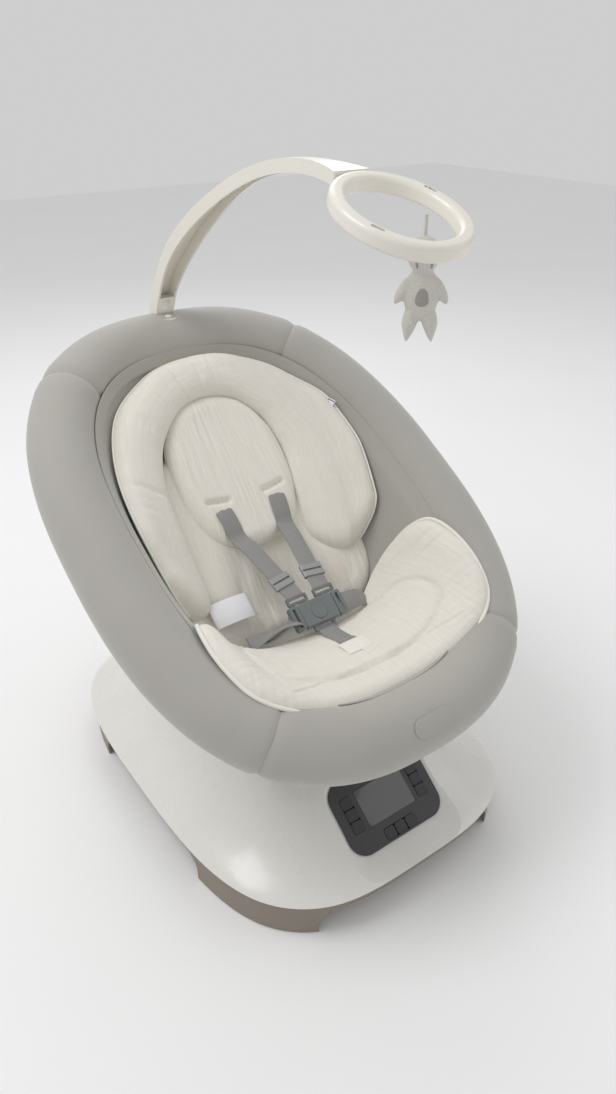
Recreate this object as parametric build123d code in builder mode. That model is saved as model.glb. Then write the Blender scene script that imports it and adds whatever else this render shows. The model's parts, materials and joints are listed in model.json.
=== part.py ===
"""Baby swing: a padded bucket seat that sways on a domed, motor-driven base, with a toy mobile.

Millimetres. World frame: origin at the centre of the base on the floor, +X to the sitter's left
(the right of someone facing the front), -Y to the front (the feet), +Y to the head, +Z up.
The seat has its own frame (u, v, w): u along +X, v up the slope of the rim towards the head and
w out of the rim plane, with its origin at the centre of the rim.
"""
import os
from math import acos, atan2, cos, degrees, hypot, pi, radians, sin, tan

from build123d import *

os.makedirs("parts", exist_ok=True)

# ------------------------------------------------------------------ driving dimensions: base
base_half_width = 237.6
base_half_length = 321.3
base_exponent = 3.39          # 2 would be an ellipse, larger is squarer
dome_edge_z = 54.0            # lower edge of the top shell
dome_top_z = 180.0
dome_wall = 3.0
# share of the outline reached at each share of the dome's rise, from the edge to the top
dome_profile = [(1.0, 0.0), (0.97, 0.048), (0.9, 0.135), (0.821, 0.254), (0.7, 0.492),
                (0.6, 0.683), (0.5, 0.841), (0.4, 0.944), (0.3, 1.0)]
shaft_hole_gap = 4.0

tray_inset = 5.0              # the tray stands this far inside the top shell's edge
tray_wall = 3.0
tray_floor_z = 40.0
tray_floor_thickness = 4.0
tray_bottom_z = 1.5
arch_half_x = 145.0           # open arches between the feet, front and back
arch_half_y = 140.0           # and at the sides
arch_top_z = 39.0
arch_corner = 25.0
foot_radius = 18.0
foot_pad_radius = 15.0
foot_pad_recess = 4.0
foot_inset = 28.0
screw_radius = 2.0
screw_head_radius = 4.5
boss_radius = 6.0
boss_x, boss_y = 120.0, 195.0
part_gap = 0.3                # between neighbours that only rest beside each other

# ------------------------------------------------------------------ driving dimensions: panel
panel_sink = 3.0
face_width = 151.0
face_low, face_high = -28.5, 70.0
face_corner = 24.0
face_thickness = 2.0
face_ledge = 2.0              # of the top shell, under the faceplate's edge
bevel_width = 12.0
bevel_rise = 5.0
lcd_width, lcd_height = 76.4, 49.0
lcd_thickness = 1.6
button_width, button_height = 16.4, 15.2
button_corner = 3.0
button_pitch = 15.8
button_row_pitch = 17.5
button_rise = 0.8
button_gap = 0.3
column_x = 54.0
column_v = 24.6
row_x, row_v = 1.4, -17.8
board_drop = 8.0
board_thickness = 1.6

# ------------------------------------------------------------------ driving dimensions: drive
shaft_radius = 12.0
running_gap = 0.05
bearing_radius = 20.0
bearing_height = 12.0
bearing_chamfer = 0.8
lower_bearing_z = 46.0
upper_bearing_z = 130.0
bridge_radius = 56.0
bridge_post_radius = 7.0
bridge_post_circle = 46.0
gear_module = 3.0
sector_teeth = 56             # of a whole wheel; only the middle nine are cut
sector_cut_teeth = 9
pinion_teeth = 14
gear_z = 63.0
gear_height = 10.0
gear_backlash = 0.5
pressure_angle = 20.0
motor_shaft_radius = 4.0
motor_radius = 18.0
motor_height = 40.0
gearbox_radius = 24.0
gearbox_height = 15.0

# ------------------------------------------------------------------ driving dimensions: seat
rim_height = 417.6
seat_tilt = 29.31
rim_half_width = 240.0
rim_half_length = 321.7
rim_exponent = 2.58
rim_radius = 43.65            # over the padding
tube_radius = 12.0
tube_wall = 1.5
joiner_length = 24.0
joiner_gap = 0.8
tube_gap = 1.2                # between the ends of the two half tubes, over a joiner
front_seam = 40.5             # outline angle from the middle of the front to its seams
head_seam = 41.3              # and from the middle of the head end
seam_gap = 0.8
bracket_thickness = 6.0
bracket_width = 14.0
shell_wall = 4.0
liner_wall = 3.0
flange_w = -44.0              # top of the shell's flange, just under the padded rim
flange_overlap = 8.0
# outer surface of the bucket: w, half width, lowest v, highest v
bucket_levels = [(-48.0, 196.0, -238.0, 196.0), (-80.0, 172.0, -208.0, 118.0),
                 (-115.0, 148.0, -172.0, 8.0), (-150.0, 108.0, -137.0, -52.0)]
# surface a child lies on, in the same terms
lying_levels = [(12.0, 192.0, -270.0, 270.0), (0.0, 189.0, -265.0, 265.0),
                (-30.0, 180.0, -213.0, 188.0), (-60.0, 167.0, -183.0, 88.0),
                (-90.0, 148.0, -154.0, -2.0), (-118.0, 106.0, -125.0, -75.0)]
lip_height = 16.0             # of the bucket's flared lip above its first level
crease_v = -100.0
bolster_v, bolster_half_width, bolster_half_length = 75.0, 160.0, 182.0
bolster_thickness = 26.0
insert_gap = 0.8              # between the padding and the cushions that lie on it
insert_depth = 150.0
leg_end_depth = 20.0          # how far the ends of its legs are cut back from an ellipse
leg_gap = 66.0
pillow_v, pillow_half_width, pillow_half_length = 112.0, 90.0, 104.0
pillow_thickness = 16.0

# ------------------------------------------------------------------ driving dimensions: harness
webbing_width, webbing_thickness = 25.0, 1.5
buckle_u_half, buckle_v_half, buckle_thickness = 27.0, 17.0, 11.0
buckle_centre = (0.0, -134.0, -47.0)
buckle_tilt = 10.0
buckle_button_radius = 11.5
tongue_length = 13.0
shoulder_slot = (45.0, 66.0, -60.0)
adjuster_share = 0.9          # along the shoulder strap, from its slot
adjuster_length = 22.0
crotch_slot_v, crotch_slot_w = -212.0, -14.0
waist_slot = (98.0, -132.0, -82.0)
bar_width = 31.0              # of the tongues' shoulder bars
label_thickness = 0.8
care_label_centre = (-92.0, -78.0, -76.0)
side_tag_centre = (171.0, 141.0, 8.0)

# ------------------------------------------------------------------ driving dimensions: recline
hub_radius = 60.0
hub_height = 8.0
hub_gap = 3.0
pivot_y, pivot_z = 8.0, 217.0
pivot_radius = 6.0
lug_half_gap = 20.0
lug_thickness = 8.0
cheek_thickness = 8.0
lever_v, lever_w = 62.0, -124.0
lever_length = 74.0
lever_width = 36.0
lever_pin_radius = 3.0
ear_height = 36.0               # the ears run up into the shell
ear_thickness = 4.0

# ------------------------------------------------------------------ driving dimensions: mobile
socket_radius = 22.5
socket_top_rise = 33.4        # above the rim's centreline
swivel_pin_radius = 9.0
foot_disc_height = 6.0
arm_wall = 3.0
# centreline of the arm in the plane x = 0, as (y, z)
arm_points = [(291.0, 612.0), (261.0, 668.0), (197.0, 731.0), (107.0, 789.0),
              (15.0, 828.0), (-65.0, 840.0), (-141.0, 835.5)]
arm_base_depth, arm_tip_depth = 21.0, 14.0
arm_base_half_width, arm_tip_half_width = 14.0, 10.0
ring_half_width, ring_half_length = 57.4, 64.8
ring_centre = (0.0, -214.0, 811.4)
ring_tilt = 19.6
ring_section = 15.0
ring_height = 17.0
toy_slot_angle = 22.0
spare_slot_angle = 206.0
toy_slot_length, toy_slot_width = 14.0, 4.0
loop_drop = 24.0
loop_width = 8.0
toy_height = 106.0
release_radius = 6.0
release_offset = 11.0         # in front of the swivel axis
button_clearance = 0.15

# ------------------------------------------------------------------ frames
tilt = radians(seat_tilt)
seat_plane = Plane(origin=(0, 0, rim_height), x_dir=(1, 0, 0), z_dir=(0, -sin(tilt), cos(tilt)))


def seat_point(u, v, w=0.0):
    """World place of a point of the seat's own frame."""
    return seat_plane.from_local_coords(Vector(u, v, w))


def save(builder, name):
    """Label a finished sub-part and write it."""
    builder.part.label = name
    export_step(builder.part, f"parts/{name}.step")


# ------------------------------------------------------------------ outlines
def squircle_point(a, b, n, angle):
    """Point of |x/a|^n + |y/b|^n = 1 at an angle measured on the unit shape."""
    c, s = cos(radians(angle)), sin(radians(angle))
    r = (abs(c) ** n + abs(s) ** n) ** (-1 / n)
    return a * r * c, b * r * s


def squircle_face(plane, a, b, n, y=0.0, count=24):
    """Face inside one closed smooth outline, centred at (0, y) of the plane."""
    points = [squircle_point(a, b, n, 360 * i / count) for i in range(count)]
    with BuildSketch(plane) as face:
        with BuildLine():
            Spline(*[(px, py + y) for px, py in points], periodic=True)
        make_face()
    return face.sketch


def squircle_loft(plane, levels, exponents):
    """Solid through outlines given as (height, half width, lowest y, highest y)."""
    sections = [
        squircle_face(plane.offset(h), a, (high - low) / 2, n, (high + low) / 2)
        for (h, a, low, high), n in zip(levels, exponents)
    ]
    with BuildPart() as solid:
        loft(sections)
    return solid.part


def slab(plane, width, height, corner, low, high, centre=(0.0, 0.0)):
    """Rounded rectangle standing on a plane from one height to another."""
    with BuildPart() as solid:
        with BuildSketch(plane.offset(low)):
            with Locations(centre):
                RectangleRounded(width, height, corner)
        extrude(amount=high - low)
    return solid.part


def rod(plane, radius, low, high, centre=(0.0, 0.0)):
    """Cylinder standing on a plane from one height to another."""
    with BuildPart() as solid:
        with BuildSketch(plane.offset(low)):
            with Locations(centre):
                Circle(radius)
        extrude(amount=high - low)
    return solid.part


# ------------------------------------------------------------------ base
def dome_height(share):
    """Height of the dome's outer surface at a share of its outline."""
    for (s0, h0), (s1, h1) in zip(dome_profile, dome_profile[1:]):
        if s1 <= share <= s0:
            rise = h0 + (h1 - h0) * (s0 - share) / (s0 - s1)
            return dome_edge_z + rise * (dome_top_z - dome_edge_z)
    return dome_top_z


def dome_solid(inset, bottom):
    """The dome filled, shrunk by an inset on every side."""
    levels = [(bottom, base_half_width - inset, -base_half_length + inset,
               base_half_length - inset)]
    levels += [(dome_edge_z + h * (dome_top_z - dome_edge_z) - inset,
                base_half_width * s - inset, -base_half_length * s + inset,
                base_half_length * s - inset) for s, h in dome_profile[1:]]
    exponents = [2.2 + (base_exponent - 2.2) * min(1.0, (s - 0.3) / 0.3)
                 for s, _ in dome_profile]
    return squircle_loft(Plane.XY, levels, exponents)


lcd_share_low, lcd_share_high = 0.821, 0.7
panel_low = (-base_half_length * lcd_share_low, dome_height(lcd_share_low))
panel_high = (-base_half_length * lcd_share_high, dome_height(lcd_share_high))
panel_slope = atan2(panel_high[1] - panel_low[1], panel_high[0] - panel_low[0])
panel_normal = (0, -sin(panel_slope), cos(panel_slope))
panel_plane = Plane(origin=(0, *panel_low), x_dir=(1, 0, 0), z_dir=panel_normal).offset(-panel_sink)
face_centre = (0.0, (face_low + face_high) / 2)
face_height = face_high - face_low


def panel_recess(grow, low, high):
    """Bevelled dish around the control panel, wider towards the outside."""
    with BuildPart() as dish:
        with BuildSketch(panel_plane.offset(low)):
            with Locations(face_centre):
                RectangleRounded(face_width + 2 * grow, face_height + 2 * grow,
                                 face_corner + grow)
        with BuildSketch(panel_plane.offset(high)):
            spread = 2 * (grow + bevel_width * (high - low) / bevel_rise)
            with Locations(face_centre):
                RectangleRounded(face_width + spread, face_height + spread,
                                 face_corner + spread / 2)
        loft()
    return dish.part


boss_places = [(x, y) for x in (-boss_x, boss_x) for y in (-boss_y, boss_y)]
foot_x = squircle_point(base_half_width, base_half_length, base_exponent, 45)[0] - foot_inset
foot_y = squircle_point(base_half_width, base_half_length, base_exponent, 45)[1] - foot_inset
foot_places = [(x, y) for x in (-foot_x, foot_x) for y in (-foot_y, foot_y)]
tray_deck_z = tray_floor_z + tray_floor_thickness

with BuildPart() as base_top_shell:
    add(dome_solid(0.0, dome_edge_z))
    add(dome_solid(dome_wall, dome_edge_z - 1.0), mode=Mode.SUBTRACT)
    with BuildPart(mode=Mode.PRIVATE) as thick_panel:
        add(slab(panel_plane, face_width + 4 * bevel_width, face_height + 4 * bevel_width,
                 face_corner, -2 * dome_wall, 40.0, face_centre))
        add(dome_solid(0.0, dome_edge_z), mode=Mode.INTERSECT)
    add(thick_panel.part)
    add(panel_recess(part_gap, -face_thickness - part_gap, 4 * bevel_rise), mode=Mode.SUBTRACT)
    add(slab(panel_plane, face_width - 2 * face_ledge, face_height - 2 * face_ledge,
             face_corner - face_ledge, -40.0, 0.0, face_centre), mode=Mode.SUBTRACT)
    with BuildPart(mode=Mode.PRIVATE) as bosses:
        for place in boss_places:
            add(rod(Plane.XY, boss_radius, tray_deck_z + part_gap, dome_top_z, place))
        add(dome_solid(dome_wall / 2, dome_edge_z - 30.0), mode=Mode.INTERSECT)
    add(bosses.part)
    for place in boss_places:
        add(rod(Plane.XY, screw_radius, 0.0, dome_edge_z + 12.0, place), mode=Mode.SUBTRACT)
    add(rod(Plane.XY, shaft_radius + shaft_hole_gap, dome_edge_z, dome_top_z + 10.0),
        mode=Mode.SUBTRACT)
save(base_top_shell, "base_top_shell")


def tray_outline(inset, low, high):
    """Straight-sided block with the base's outline."""
    face = squircle_face(Plane.XY.offset(low), base_half_width - tray_inset - inset,
                         base_half_length - tray_inset - inset, base_exponent)
    with BuildPart() as block:
        extrude(face, amount=high - low)
    return block.part


def arch(plane, half_width, half_length):
    """Opening with rounded upper corners through the whole base."""
    with BuildPart() as opening:
        with BuildSketch(plane) as front:
            with Locations((0, arch_top_z / 2 - arch_corner)):
                Rectangle(2 * half_width, arch_top_z + 2 * arch_corner)
            fillet(front.vertices().group_by(Axis.Y)[-1], arch_corner)
        extrude(amount=half_length, both=True)
    return opening.part


jack_z = (tray_floor_z + dome_edge_z) / 2 + 2.0
with BuildPart() as base_tray:
    add(tray_outline(0.0, tray_bottom_z, dome_edge_z - part_gap))
    add(tray_outline(tray_wall, tray_deck_z, dome_edge_z + 10.0), mode=Mode.SUBTRACT)
    add(tray_outline(tray_wall, -10.0, tray_floor_z), mode=Mode.SUBTRACT)
    add(arch(Plane.XZ, arch_half_x, base_half_length + 10.0), mode=Mode.SUBTRACT)
    add(arch(Plane.YZ, arch_half_y, base_half_width + 10.0), mode=Mode.SUBTRACT)
    for place in foot_places:
        add(rod(Plane.XY, foot_radius, tray_bottom_z, tray_deck_z, place))
        add(rod(Plane.XY, foot_pad_radius + part_gap / 2, 0.0,
                tray_bottom_z + foot_pad_recess, place), mode=Mode.SUBTRACT)
    for place in boss_places:
        add(rod(Plane.XY, screw_radius + part_gap, 0.0, dome_edge_z, place), mode=Mode.SUBTRACT)
    add(slab(Plane.XZ.offset(-base_half_length), 11.0 + part_gap, 8.0 + part_gap, 1.5,
             -10.0, 20.0, (60.0, jack_z)), mode=Mode.SUBTRACT)
save(base_tray, "base_tray")

with BuildPart() as rubber_feet:
    for place in foot_places:
        add(rod(Plane.XY, foot_pad_radius, 0.0, tray_bottom_z + foot_pad_recess, place))
    chamfer(rubber_feet.faces().filter_by(Axis.Z).group_by(Axis.Z)[0].edges(), 1.0)
save(rubber_feet, "rubber_feet")

with BuildPart() as base_screws:
    for place in boss_places:
        add(rod(Plane.XY, screw_radius, tray_floor_z - 0.5, dome_edge_z + 11.0, place))
        add(rod(Plane.XY, screw_head_radius, tray_floor_z - 3.0, tray_floor_z, place))
save(base_screws, "base_screws")

# ------------------------------------------------------------------ control panel
button_places = {
    "button_sound": (-column_x, column_v + button_pitch),
    "button_lullaby": (-column_x, column_v),
    "button_softer": (-column_x, column_v - button_pitch),
    "button_faster": (column_x, column_v + button_pitch),
    "button_sway": (column_x, column_v),
    "button_slower": (column_x, column_v - button_pitch),
    "button_auto": (row_x - button_row_pitch, row_v),
    "button_power": (row_x, row_v),
    "button_vibrate": (row_x + button_row_pitch, row_v),
}
column_window = (button_width + 2 * button_gap,
                 2 * button_pitch + button_height + 2 * button_gap)
row_window = (2 * button_row_pitch + button_width + 2 * button_gap,
              button_height + 2 * button_gap)

with BuildPart() as control_bezel:
    add(slab(panel_plane, face_width, face_height, face_corner, -face_thickness, 0.0,
             face_centre))
    chamfer(control_bezel.faces().sort_by(Axis(panel_plane.origin, panel_plane.z_dir))[-1]
            .outer_wire().edges(), 0.5)
    with BuildSketch(panel_plane.offset(-face_thickness)):
        with Locations((-column_x, column_v), (column_x, column_v)):
            RectangleRounded(*column_window, button_corner)
        with Locations((row_x, row_v)):
            RectangleRounded(*row_window, button_corner)
        with Locations((0, lcd_height / 2)):
            RectangleRounded(lcd_width + 2 * part_gap, lcd_height + 2 * part_gap, 2.0)
    extrude(amount=2 * face_thickness, mode=Mode.SUBTRACT)
save(control_bezel, "control_bezel")

with BuildPart() as lcd_lens:
    add(slab(panel_plane, lcd_width, lcd_height, 2.0, 0.2 - lcd_thickness, 0.2,
             (0.0, lcd_height / 2)))
save(lcd_lens, "lcd_lens")

# the display module and the board it is soldered to
with BuildPart() as control_board:
    add(slab(panel_plane, lcd_width - 4.0, lcd_height - 4.0, 1.0, -board_drop + part_gap,
             -lcd_thickness, (0.0, lcd_height / 2)))
    add(slab(panel_plane, face_width - 16.0, face_height - 12.0, 6.0,
             -board_drop - board_thickness, -board_drop, face_centre))
save(control_board, "control_board")

for button_name, button_place in button_places.items():
    with BuildPart() as control_button:
        add(slab(panel_plane, button_width, button_height, button_corner,
                 -face_thickness - 2.0, button_rise, button_place))
        top_face = control_button.faces().sort_by(
            Axis(panel_plane.origin, panel_plane.z_dir))[-1]
        fillet(top_face.edges(), 0.6)
    save(control_button, button_name)

with BuildPart() as speaker:
    add(rod(Plane.XY, 26.0, tray_deck_z + part_gap, tray_deck_z + 12.0, (-95.0, -60.0)))
    add(rod(Plane.XY, 14.0, tray_deck_z + 12.0, tray_deck_z + 20.0, (-95.0, -60.0)))
save(speaker, "speaker")

with BuildPart() as dc_jack:
    add(slab(Plane.XZ.offset(-base_half_length), 11.0, 8.0, 1.5, tray_inset - 0.5,
             tray_inset + 15.0, (60.0, jack_z)))
    add(rod(Plane.XZ.offset(-base_half_length), 2.9, 0.0, tray_inset + 10.0,
            (60.0, jack_z)), mode=Mode.SUBTRACT)
    add(rod(Plane.XZ.offset(-base_half_length), 0.9, tray_inset, tray_inset + 11.0,
            (60.0, jack_z)))
save(dc_jack, "dc_jack")

# ------------------------------------------------------------------ drive
sector_pitch_radius = gear_module * sector_teeth / 2
pinion_pitch_radius = gear_module * pinion_teeth / 2
motor_y = sector_pitch_radius + pinion_pitch_radius


def involute(angle):
    return tan(angle) - angle


def tooth_face(teeth):
    """One gear tooth along +X, with true involute flanks."""
    pitch = gear_module * teeth / 2
    base = pitch * cos(radians(pressure_angle))
    tip, root = pitch + 0.8 * gear_module, pitch - 1.1 * gear_module
    half_at_pitch = pi / (2 * teeth) - gear_backlash / (2 * pitch)
    flank = []
    for i in range(6):
        r = max(base, root) + (tip - max(base, root)) * i / 5
        lean = half_at_pitch + involute(radians(pressure_angle)) - involute(acos(min(1.0, base / r)))
        flank.append((r * cos(lean), r * sin(lean)))
    foot_angle = atan2(flank[0][1], flank[0][0])
    foot = ((root - 0.5) * cos(foot_angle), (root - 0.5) * sin(foot_angle))
    upper = [foot] + flank
    with BuildSketch() as tooth:
        with BuildLine():
            Polyline(*upper, *[(x, -y) for x, y in reversed(upper)], close=True)
        make_face()
    return tooth.sketch


with BuildPart() as sector_gear:
    with BuildSketch(Plane.XY.offset(gear_z)):
        Circle(sector_pitch_radius - 1.1 * gear_module)
        reach = 2 * sector_pitch_radius
        half_sector = radians(180 * sector_cut_teeth / sector_teeth + 2)
        with BuildSketch(mode=Mode.INTERSECT):
            with BuildLine():
                Polyline((0, 0), (reach * sin(half_sector), reach * cos(half_sector)),
                         (-reach * sin(half_sector), reach * cos(half_sector)), close=True)
            make_face()
        Circle(shaft_radius + 10.0)
        tooth_step = 360 / sector_teeth
        first_tooth = 90 - tooth_step * (sector_cut_teeth // 2)
        with PolarLocations(0, sector_cut_teeth, first_tooth, tooth_step * (sector_cut_teeth - 1),
                            endpoint=True):
            add(tooth_face(sector_teeth))
        Circle(shaft_radius + running_gap / 2, mode=Mode.SUBTRACT)
    extrude(amount=gear_height)
save(sector_gear, "sector_gear")

with BuildPart() as motor_pinion:
    with BuildSketch(Plane.XY.offset(gear_z - 1.0)):
        with Locations((0, motor_y)):
            Circle(pinion_pitch_radius - 1.1 * gear_module)
            with PolarLocations(0, pinion_teeth, -90 + 180 / pinion_teeth):
                add(tooth_face(pinion_teeth))
    extrude(amount=gear_height + 2.0)
    add(rod(Plane.XY, motor_shaft_radius, gear_z + gear_height, gear_z + gear_height + 14.0,
            (0.0, motor_y)))
save(motor_pinion, "motor_pinion")

bracket_z = gear_z + gear_height + 2.5
with BuildPart() as motor_bracket:
    add(slab(Plane.XY, 100.0, 56.0, 12.0, bracket_z, bracket_z + 2.5, (0.0, motor_y + 16.0)))
    for x in (-40.0, 40.0):
        add(rod(Plane.XY, 6.0, tray_deck_z, bracket_z + 1.0, (x, motor_y + 20.0)))
    add(rod(Plane.XY, motor_shaft_radius + 2.0, 0.0, dome_top_z, (0.0, motor_y)),
        mode=Mode.SUBTRACT)
save(motor_bracket, "motor_bracket")

gearbox_z = bracket_z + 2.5
# the motor's can on its gearbox, bought in as one unit
with BuildPart() as drive_motor:
    add(rod(Plane.XY, gearbox_radius, gearbox_z, gearbox_z + gearbox_height, (0.0, motor_y)))
    add(rod(Plane.XY, motor_shaft_radius + running_gap, 0.0, gearbox_z + gearbox_height - 3.0,
            (0.0, motor_y)), mode=Mode.SUBTRACT)
    add(rod(Plane.XY, motor_radius, gearbox_z + gearbox_height,
            gearbox_z + gearbox_height + motor_height, (0.0, motor_y)))
    chamfer(drive_motor.faces().sort_by(Axis.Z)[-1].edges(), 2.0)
save(drive_motor, "drive_motor")


# two plain bearing rings around the shaft
with BuildPart() as shaft_bearings:
    for bottom in (lower_bearing_z, upper_bearing_z):
        add(rod(Plane.XY, bearing_radius, bottom, bottom + bearing_height))
    chamfer(shaft_bearings.edges().filter_by(GeomType.CIRCLE), bearing_chamfer)
    add(rod(Plane.XY, shaft_radius + running_gap, 0.0, dome_top_z), mode=Mode.SUBTRACT)
save(shaft_bearings, "shaft_bearings")

# the cup of the lower bearing and the three-legged bridge that holds the upper one
with BuildPart() as bearing_housings:
    add(rod(Plane.XY, bearing_radius + 6.0, tray_deck_z, lower_bearing_z + bearing_height - 1))
    housing_top = upper_bearing_z + bearing_height
    add(rod(Plane.XY, bridge_radius, housing_top - 8.0, housing_top))
    add(rod(Plane.XY, bearing_radius + 8.0, upper_bearing_z, housing_top))
    for angle in (180.0, 270.0, 360.0):
        place = (bridge_post_circle * cos(radians(angle)), bridge_post_circle * sin(radians(angle)))
        add(rod(Plane.XY, bridge_post_radius, tray_deck_z, housing_top - 1.0, place))
    add(rod(Plane.XY, bearing_radius + running_gap, lower_bearing_z, dome_top_z),
        mode=Mode.SUBTRACT)
save(bearing_housings, "bearing_housings")

hub_z = dome_top_z + hub_gap
with BuildPart() as swing_shaft:
    add(rod(Plane.XY, shaft_radius, lower_bearing_z + 0.5, hub_z + hub_height - 2.0))
    add(rod(Plane.XY, shaft_radius + 4.0, lower_bearing_z + bearing_height + part_gap,
            gear_z - 0.1))
    add(rod(Plane.XY, shaft_radius - 4.0, 0.0, hub_z + hub_height), mode=Mode.SUBTRACT)
save(swing_shaft, "swing_shaft")

# ------------------------------------------------------------------ turntable and recline yoke
cheek_in = lug_half_gap + lug_thickness + 0.5
with BuildPart() as hub_cap:
    add(rod(Plane.XY, hub_radius, hub_z, hub_z + hub_height))
    chamfer(hub_cap.faces().sort_by(Axis.Z)[-1].edges(), 3.0)
    add(rod(Plane.XY, shaft_radius + running_gap / 2, 0.0, hub_z + hub_height - 2.0),
        mode=Mode.SUBTRACT)
save(hub_cap, "hub_cap")

yoke_z = hub_z + hub_height
pivot_plane = Plane(origin=(0, pivot_y, pivot_z), x_dir=(0, 1, 0), z_dir=(1, 0, 0))
with BuildPart() as recline_yoke:
    add(slab(Plane.XY, 2 * (cheek_in + cheek_thickness), 64.0, 8.0, yoke_z, yoke_z + 5.0,
             (0.0, pivot_y)))
    for side in (-1, 1):
        inner = cheek_in if side > 0 else -cheek_in - cheek_thickness
        with BuildSketch(pivot_plane.offset(inner)):
            with BuildLine():
                drop = yoke_z + 2.0 - pivot_z
                Polyline((-26.0, drop), (26.0, drop), (12.0, 0.0), (-12.0, 0.0), close=True)
            make_face()
            Circle(12.0)
        extrude(amount=cheek_thickness)
    add(rod(pivot_plane, pivot_radius + running_gap, -100.0, 100.0), mode=Mode.SUBTRACT)
save(recline_yoke, "recline_yoke")

with BuildPart() as pivot_pin:
    pin_half = cheek_in + cheek_thickness + 1.0
    add(rod(pivot_plane, pivot_radius, -pin_half, pin_half))
    add(rod(pivot_plane, pivot_radius + 3.0, -pin_half - 3.0, -pin_half))
    add(rod(pivot_plane, pivot_radius + 3.0, pin_half, pin_half + 3.0))
save(pivot_pin, "pivot_pin")


# ------------------------------------------------------------------ rim
def rim_point(angle, reach=0.0):
    """Point of the rim's centreline, or of the outline a distance outside it."""
    x, y = squircle_point(rim_half_width + reach, rim_half_length + reach, rim_exponent, angle)
    return seat_point(x, y)


def rim_tangent(angle):
    return (rim_point(angle + 0.5) - rim_point(angle - 0.5)).normalized()


def rim_path(start, end):
    """Rim centreline between two angles, as one smooth edge."""
    steps = max(3, round(abs(end - start) / 12))
    points = [rim_point(start + (end - start) * i / steps) for i in range(steps + 1)]
    with BuildLine() as line:
        Spline(*points)
    return line.line.edges()[0]


def rim_sweep(start, end, outer, inner):
    """Round tube along a stretch of the rim."""
    path = rim_path(start, end)
    with BuildPart() as tube:
        for radius, mode in ((outer, Mode.ADD), (inner, Mode.SUBTRACT)):
            with BuildSketch(Plane(origin=path @ 0, x_dir=seat_plane.z_dir,
                                   z_dir=path % 0)) as disc:
                Circle(radius)
            sweep(sections=disc.sketch, path=path, mode=mode)
    return tube.part


def seam_plane(angle):
    """Plane across the rim: x along w, y outwards, z along the rim."""
    return Plane(origin=rim_point(angle), x_dir=seat_plane.z_dir, z_dir=rim_tangent(angle))


seam_angles = [-90 - front_seam, -90 + front_seam, 90 - head_seam, 90 + head_seam]


def bracket(angle, grow):
    """Post from the shell's flange to a saddle around the rim tube; grow makes its pocket."""
    with BuildPart() as post:
        with BuildSketch(seam_plane(angle).offset(-bracket_thickness / 2 - grow)):
            Circle(tube_radius + 5.0 + grow)
            with Locations(((flange_w - grow * 3) / 2, 0)):
                Rectangle(-flange_w + grow * 3, bracket_width + 2 * grow)
        extrude(amount=bracket_thickness + 2 * grow)
    return post.part


end_trim = degrees(tube_gap / 2 / rim_half_width)
for tube_name, start in (("rim_tube_left", 90.0), ("rim_tube_right", -90.0)):
    with BuildPart() as rim_tube:
        add(rim_sweep(start + end_trim, start + 180.0 - end_trim, tube_radius,
                      tube_radius - tube_wall))
        if tube_name == "rim_tube_right":
            # plugs that join it to the left tube at the foot and head ends
            for angle in (-90.0, 90.0):
                with BuildSketch(seam_plane(angle).offset(-joiner_length / 2)):
                    Circle(tube_radius - tube_wall - joiner_gap)
                extrude(amount=joiner_length)
    save(rim_tube, tube_name)

with BuildPart() as rim_brackets:
    for angle in seam_angles:
        add(bracket(angle, 0.0))
        with BuildSketch(seam_plane(angle).offset(-bracket_thickness)):
            Circle(tube_radius + 0.2)
        extrude(amount=2 * bracket_thickness, mode=Mode.SUBTRACT)
        with BuildSketch(seat_plane.offset(flange_w - 5.0)):
            with Locations(seat_plane.to_local_coords(rim_point(angle))):
                Circle(screw_radius)
        extrude(amount=20.0, mode=Mode.SUBTRACT)
save(rim_brackets, "rim_brackets")

with BuildPart() as rim_screws:
    for angle in seam_angles:
        x, y = squircle_point(rim_half_width, rim_half_length, rim_exponent, angle)
        under = flange_w - shell_wall
        add(rod(seat_plane, screw_radius, under - 0.5, flange_w + 14.0, (x, y)))
        add(rod(seat_plane, screw_head_radius, under - 3.0, under, (x, y)))
save(rim_screws, "rim_screws")

socket_axis_point = rim_point(90.0)
socket_plane = Plane(origin=socket_axis_point)


def seam_margin(angle):
    """Outline angle that half a seam's gap covers."""
    x, y = squircle_point(rim_half_width, rim_half_length, rim_exponent, angle)
    return degrees(seam_gap / 2 / hypot(x, y))


cover_spans = {
    "rim_cover_front": (-90 - front_seam, -90 + front_seam),
    "rim_cover_right": (-90 + front_seam, 90 - head_seam),
    "rim_cover_head": (90 - head_seam, 90 + head_seam),
    "rim_cover_left": (90 + head_seam, 270 - front_seam),
}
for cover_name, (start, end) in cover_spans.items():
    with BuildPart() as rim_cover:
        add(rim_sweep(start + seam_margin(start), end - seam_margin(end), rim_radius,
                      tube_radius + part_gap))
        for angle in (start, end):
            add(bracket(angle, 0.4), mode=Mode.SUBTRACT)
        if cover_name == "rim_cover_head":
            add(rod(socket_plane, socket_radius + 0.6, 0.0, 2 * rim_radius), mode=Mode.SUBTRACT)
    save(rim_cover, cover_name)

patch_plane = Plane(origin=rim_point(-90.0), x_dir=(1, 0, 0),
                    z_dir=seat_point(0, -cos(radians(62)), sin(radians(62))) - seat_point(0, 0))
with BuildPart() as badge_patch:
    add(rim_sweep(-104.0, -76.0, rim_radius + 1.1, rim_radius + 0.2))
    with BuildPart(mode=Mode.PRIVATE) as pill:
        add(slab(patch_plane, 58.0, 24.0, 11.9, 20.0, 2 * rim_radius))
    add(pill.part, mode=Mode.INTERSECT)
save(badge_patch, "badge_patch")


# ------------------------------------------------------------------ bucket seat
def lifted(levels, lift):
    """Outlines moved inwards by a distance, so that their surfaces stay parallel."""
    side = 0.6 * lift
    return [(w + lift, u - side, low + side, high - side) for w, u, low, high in levels]


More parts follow.
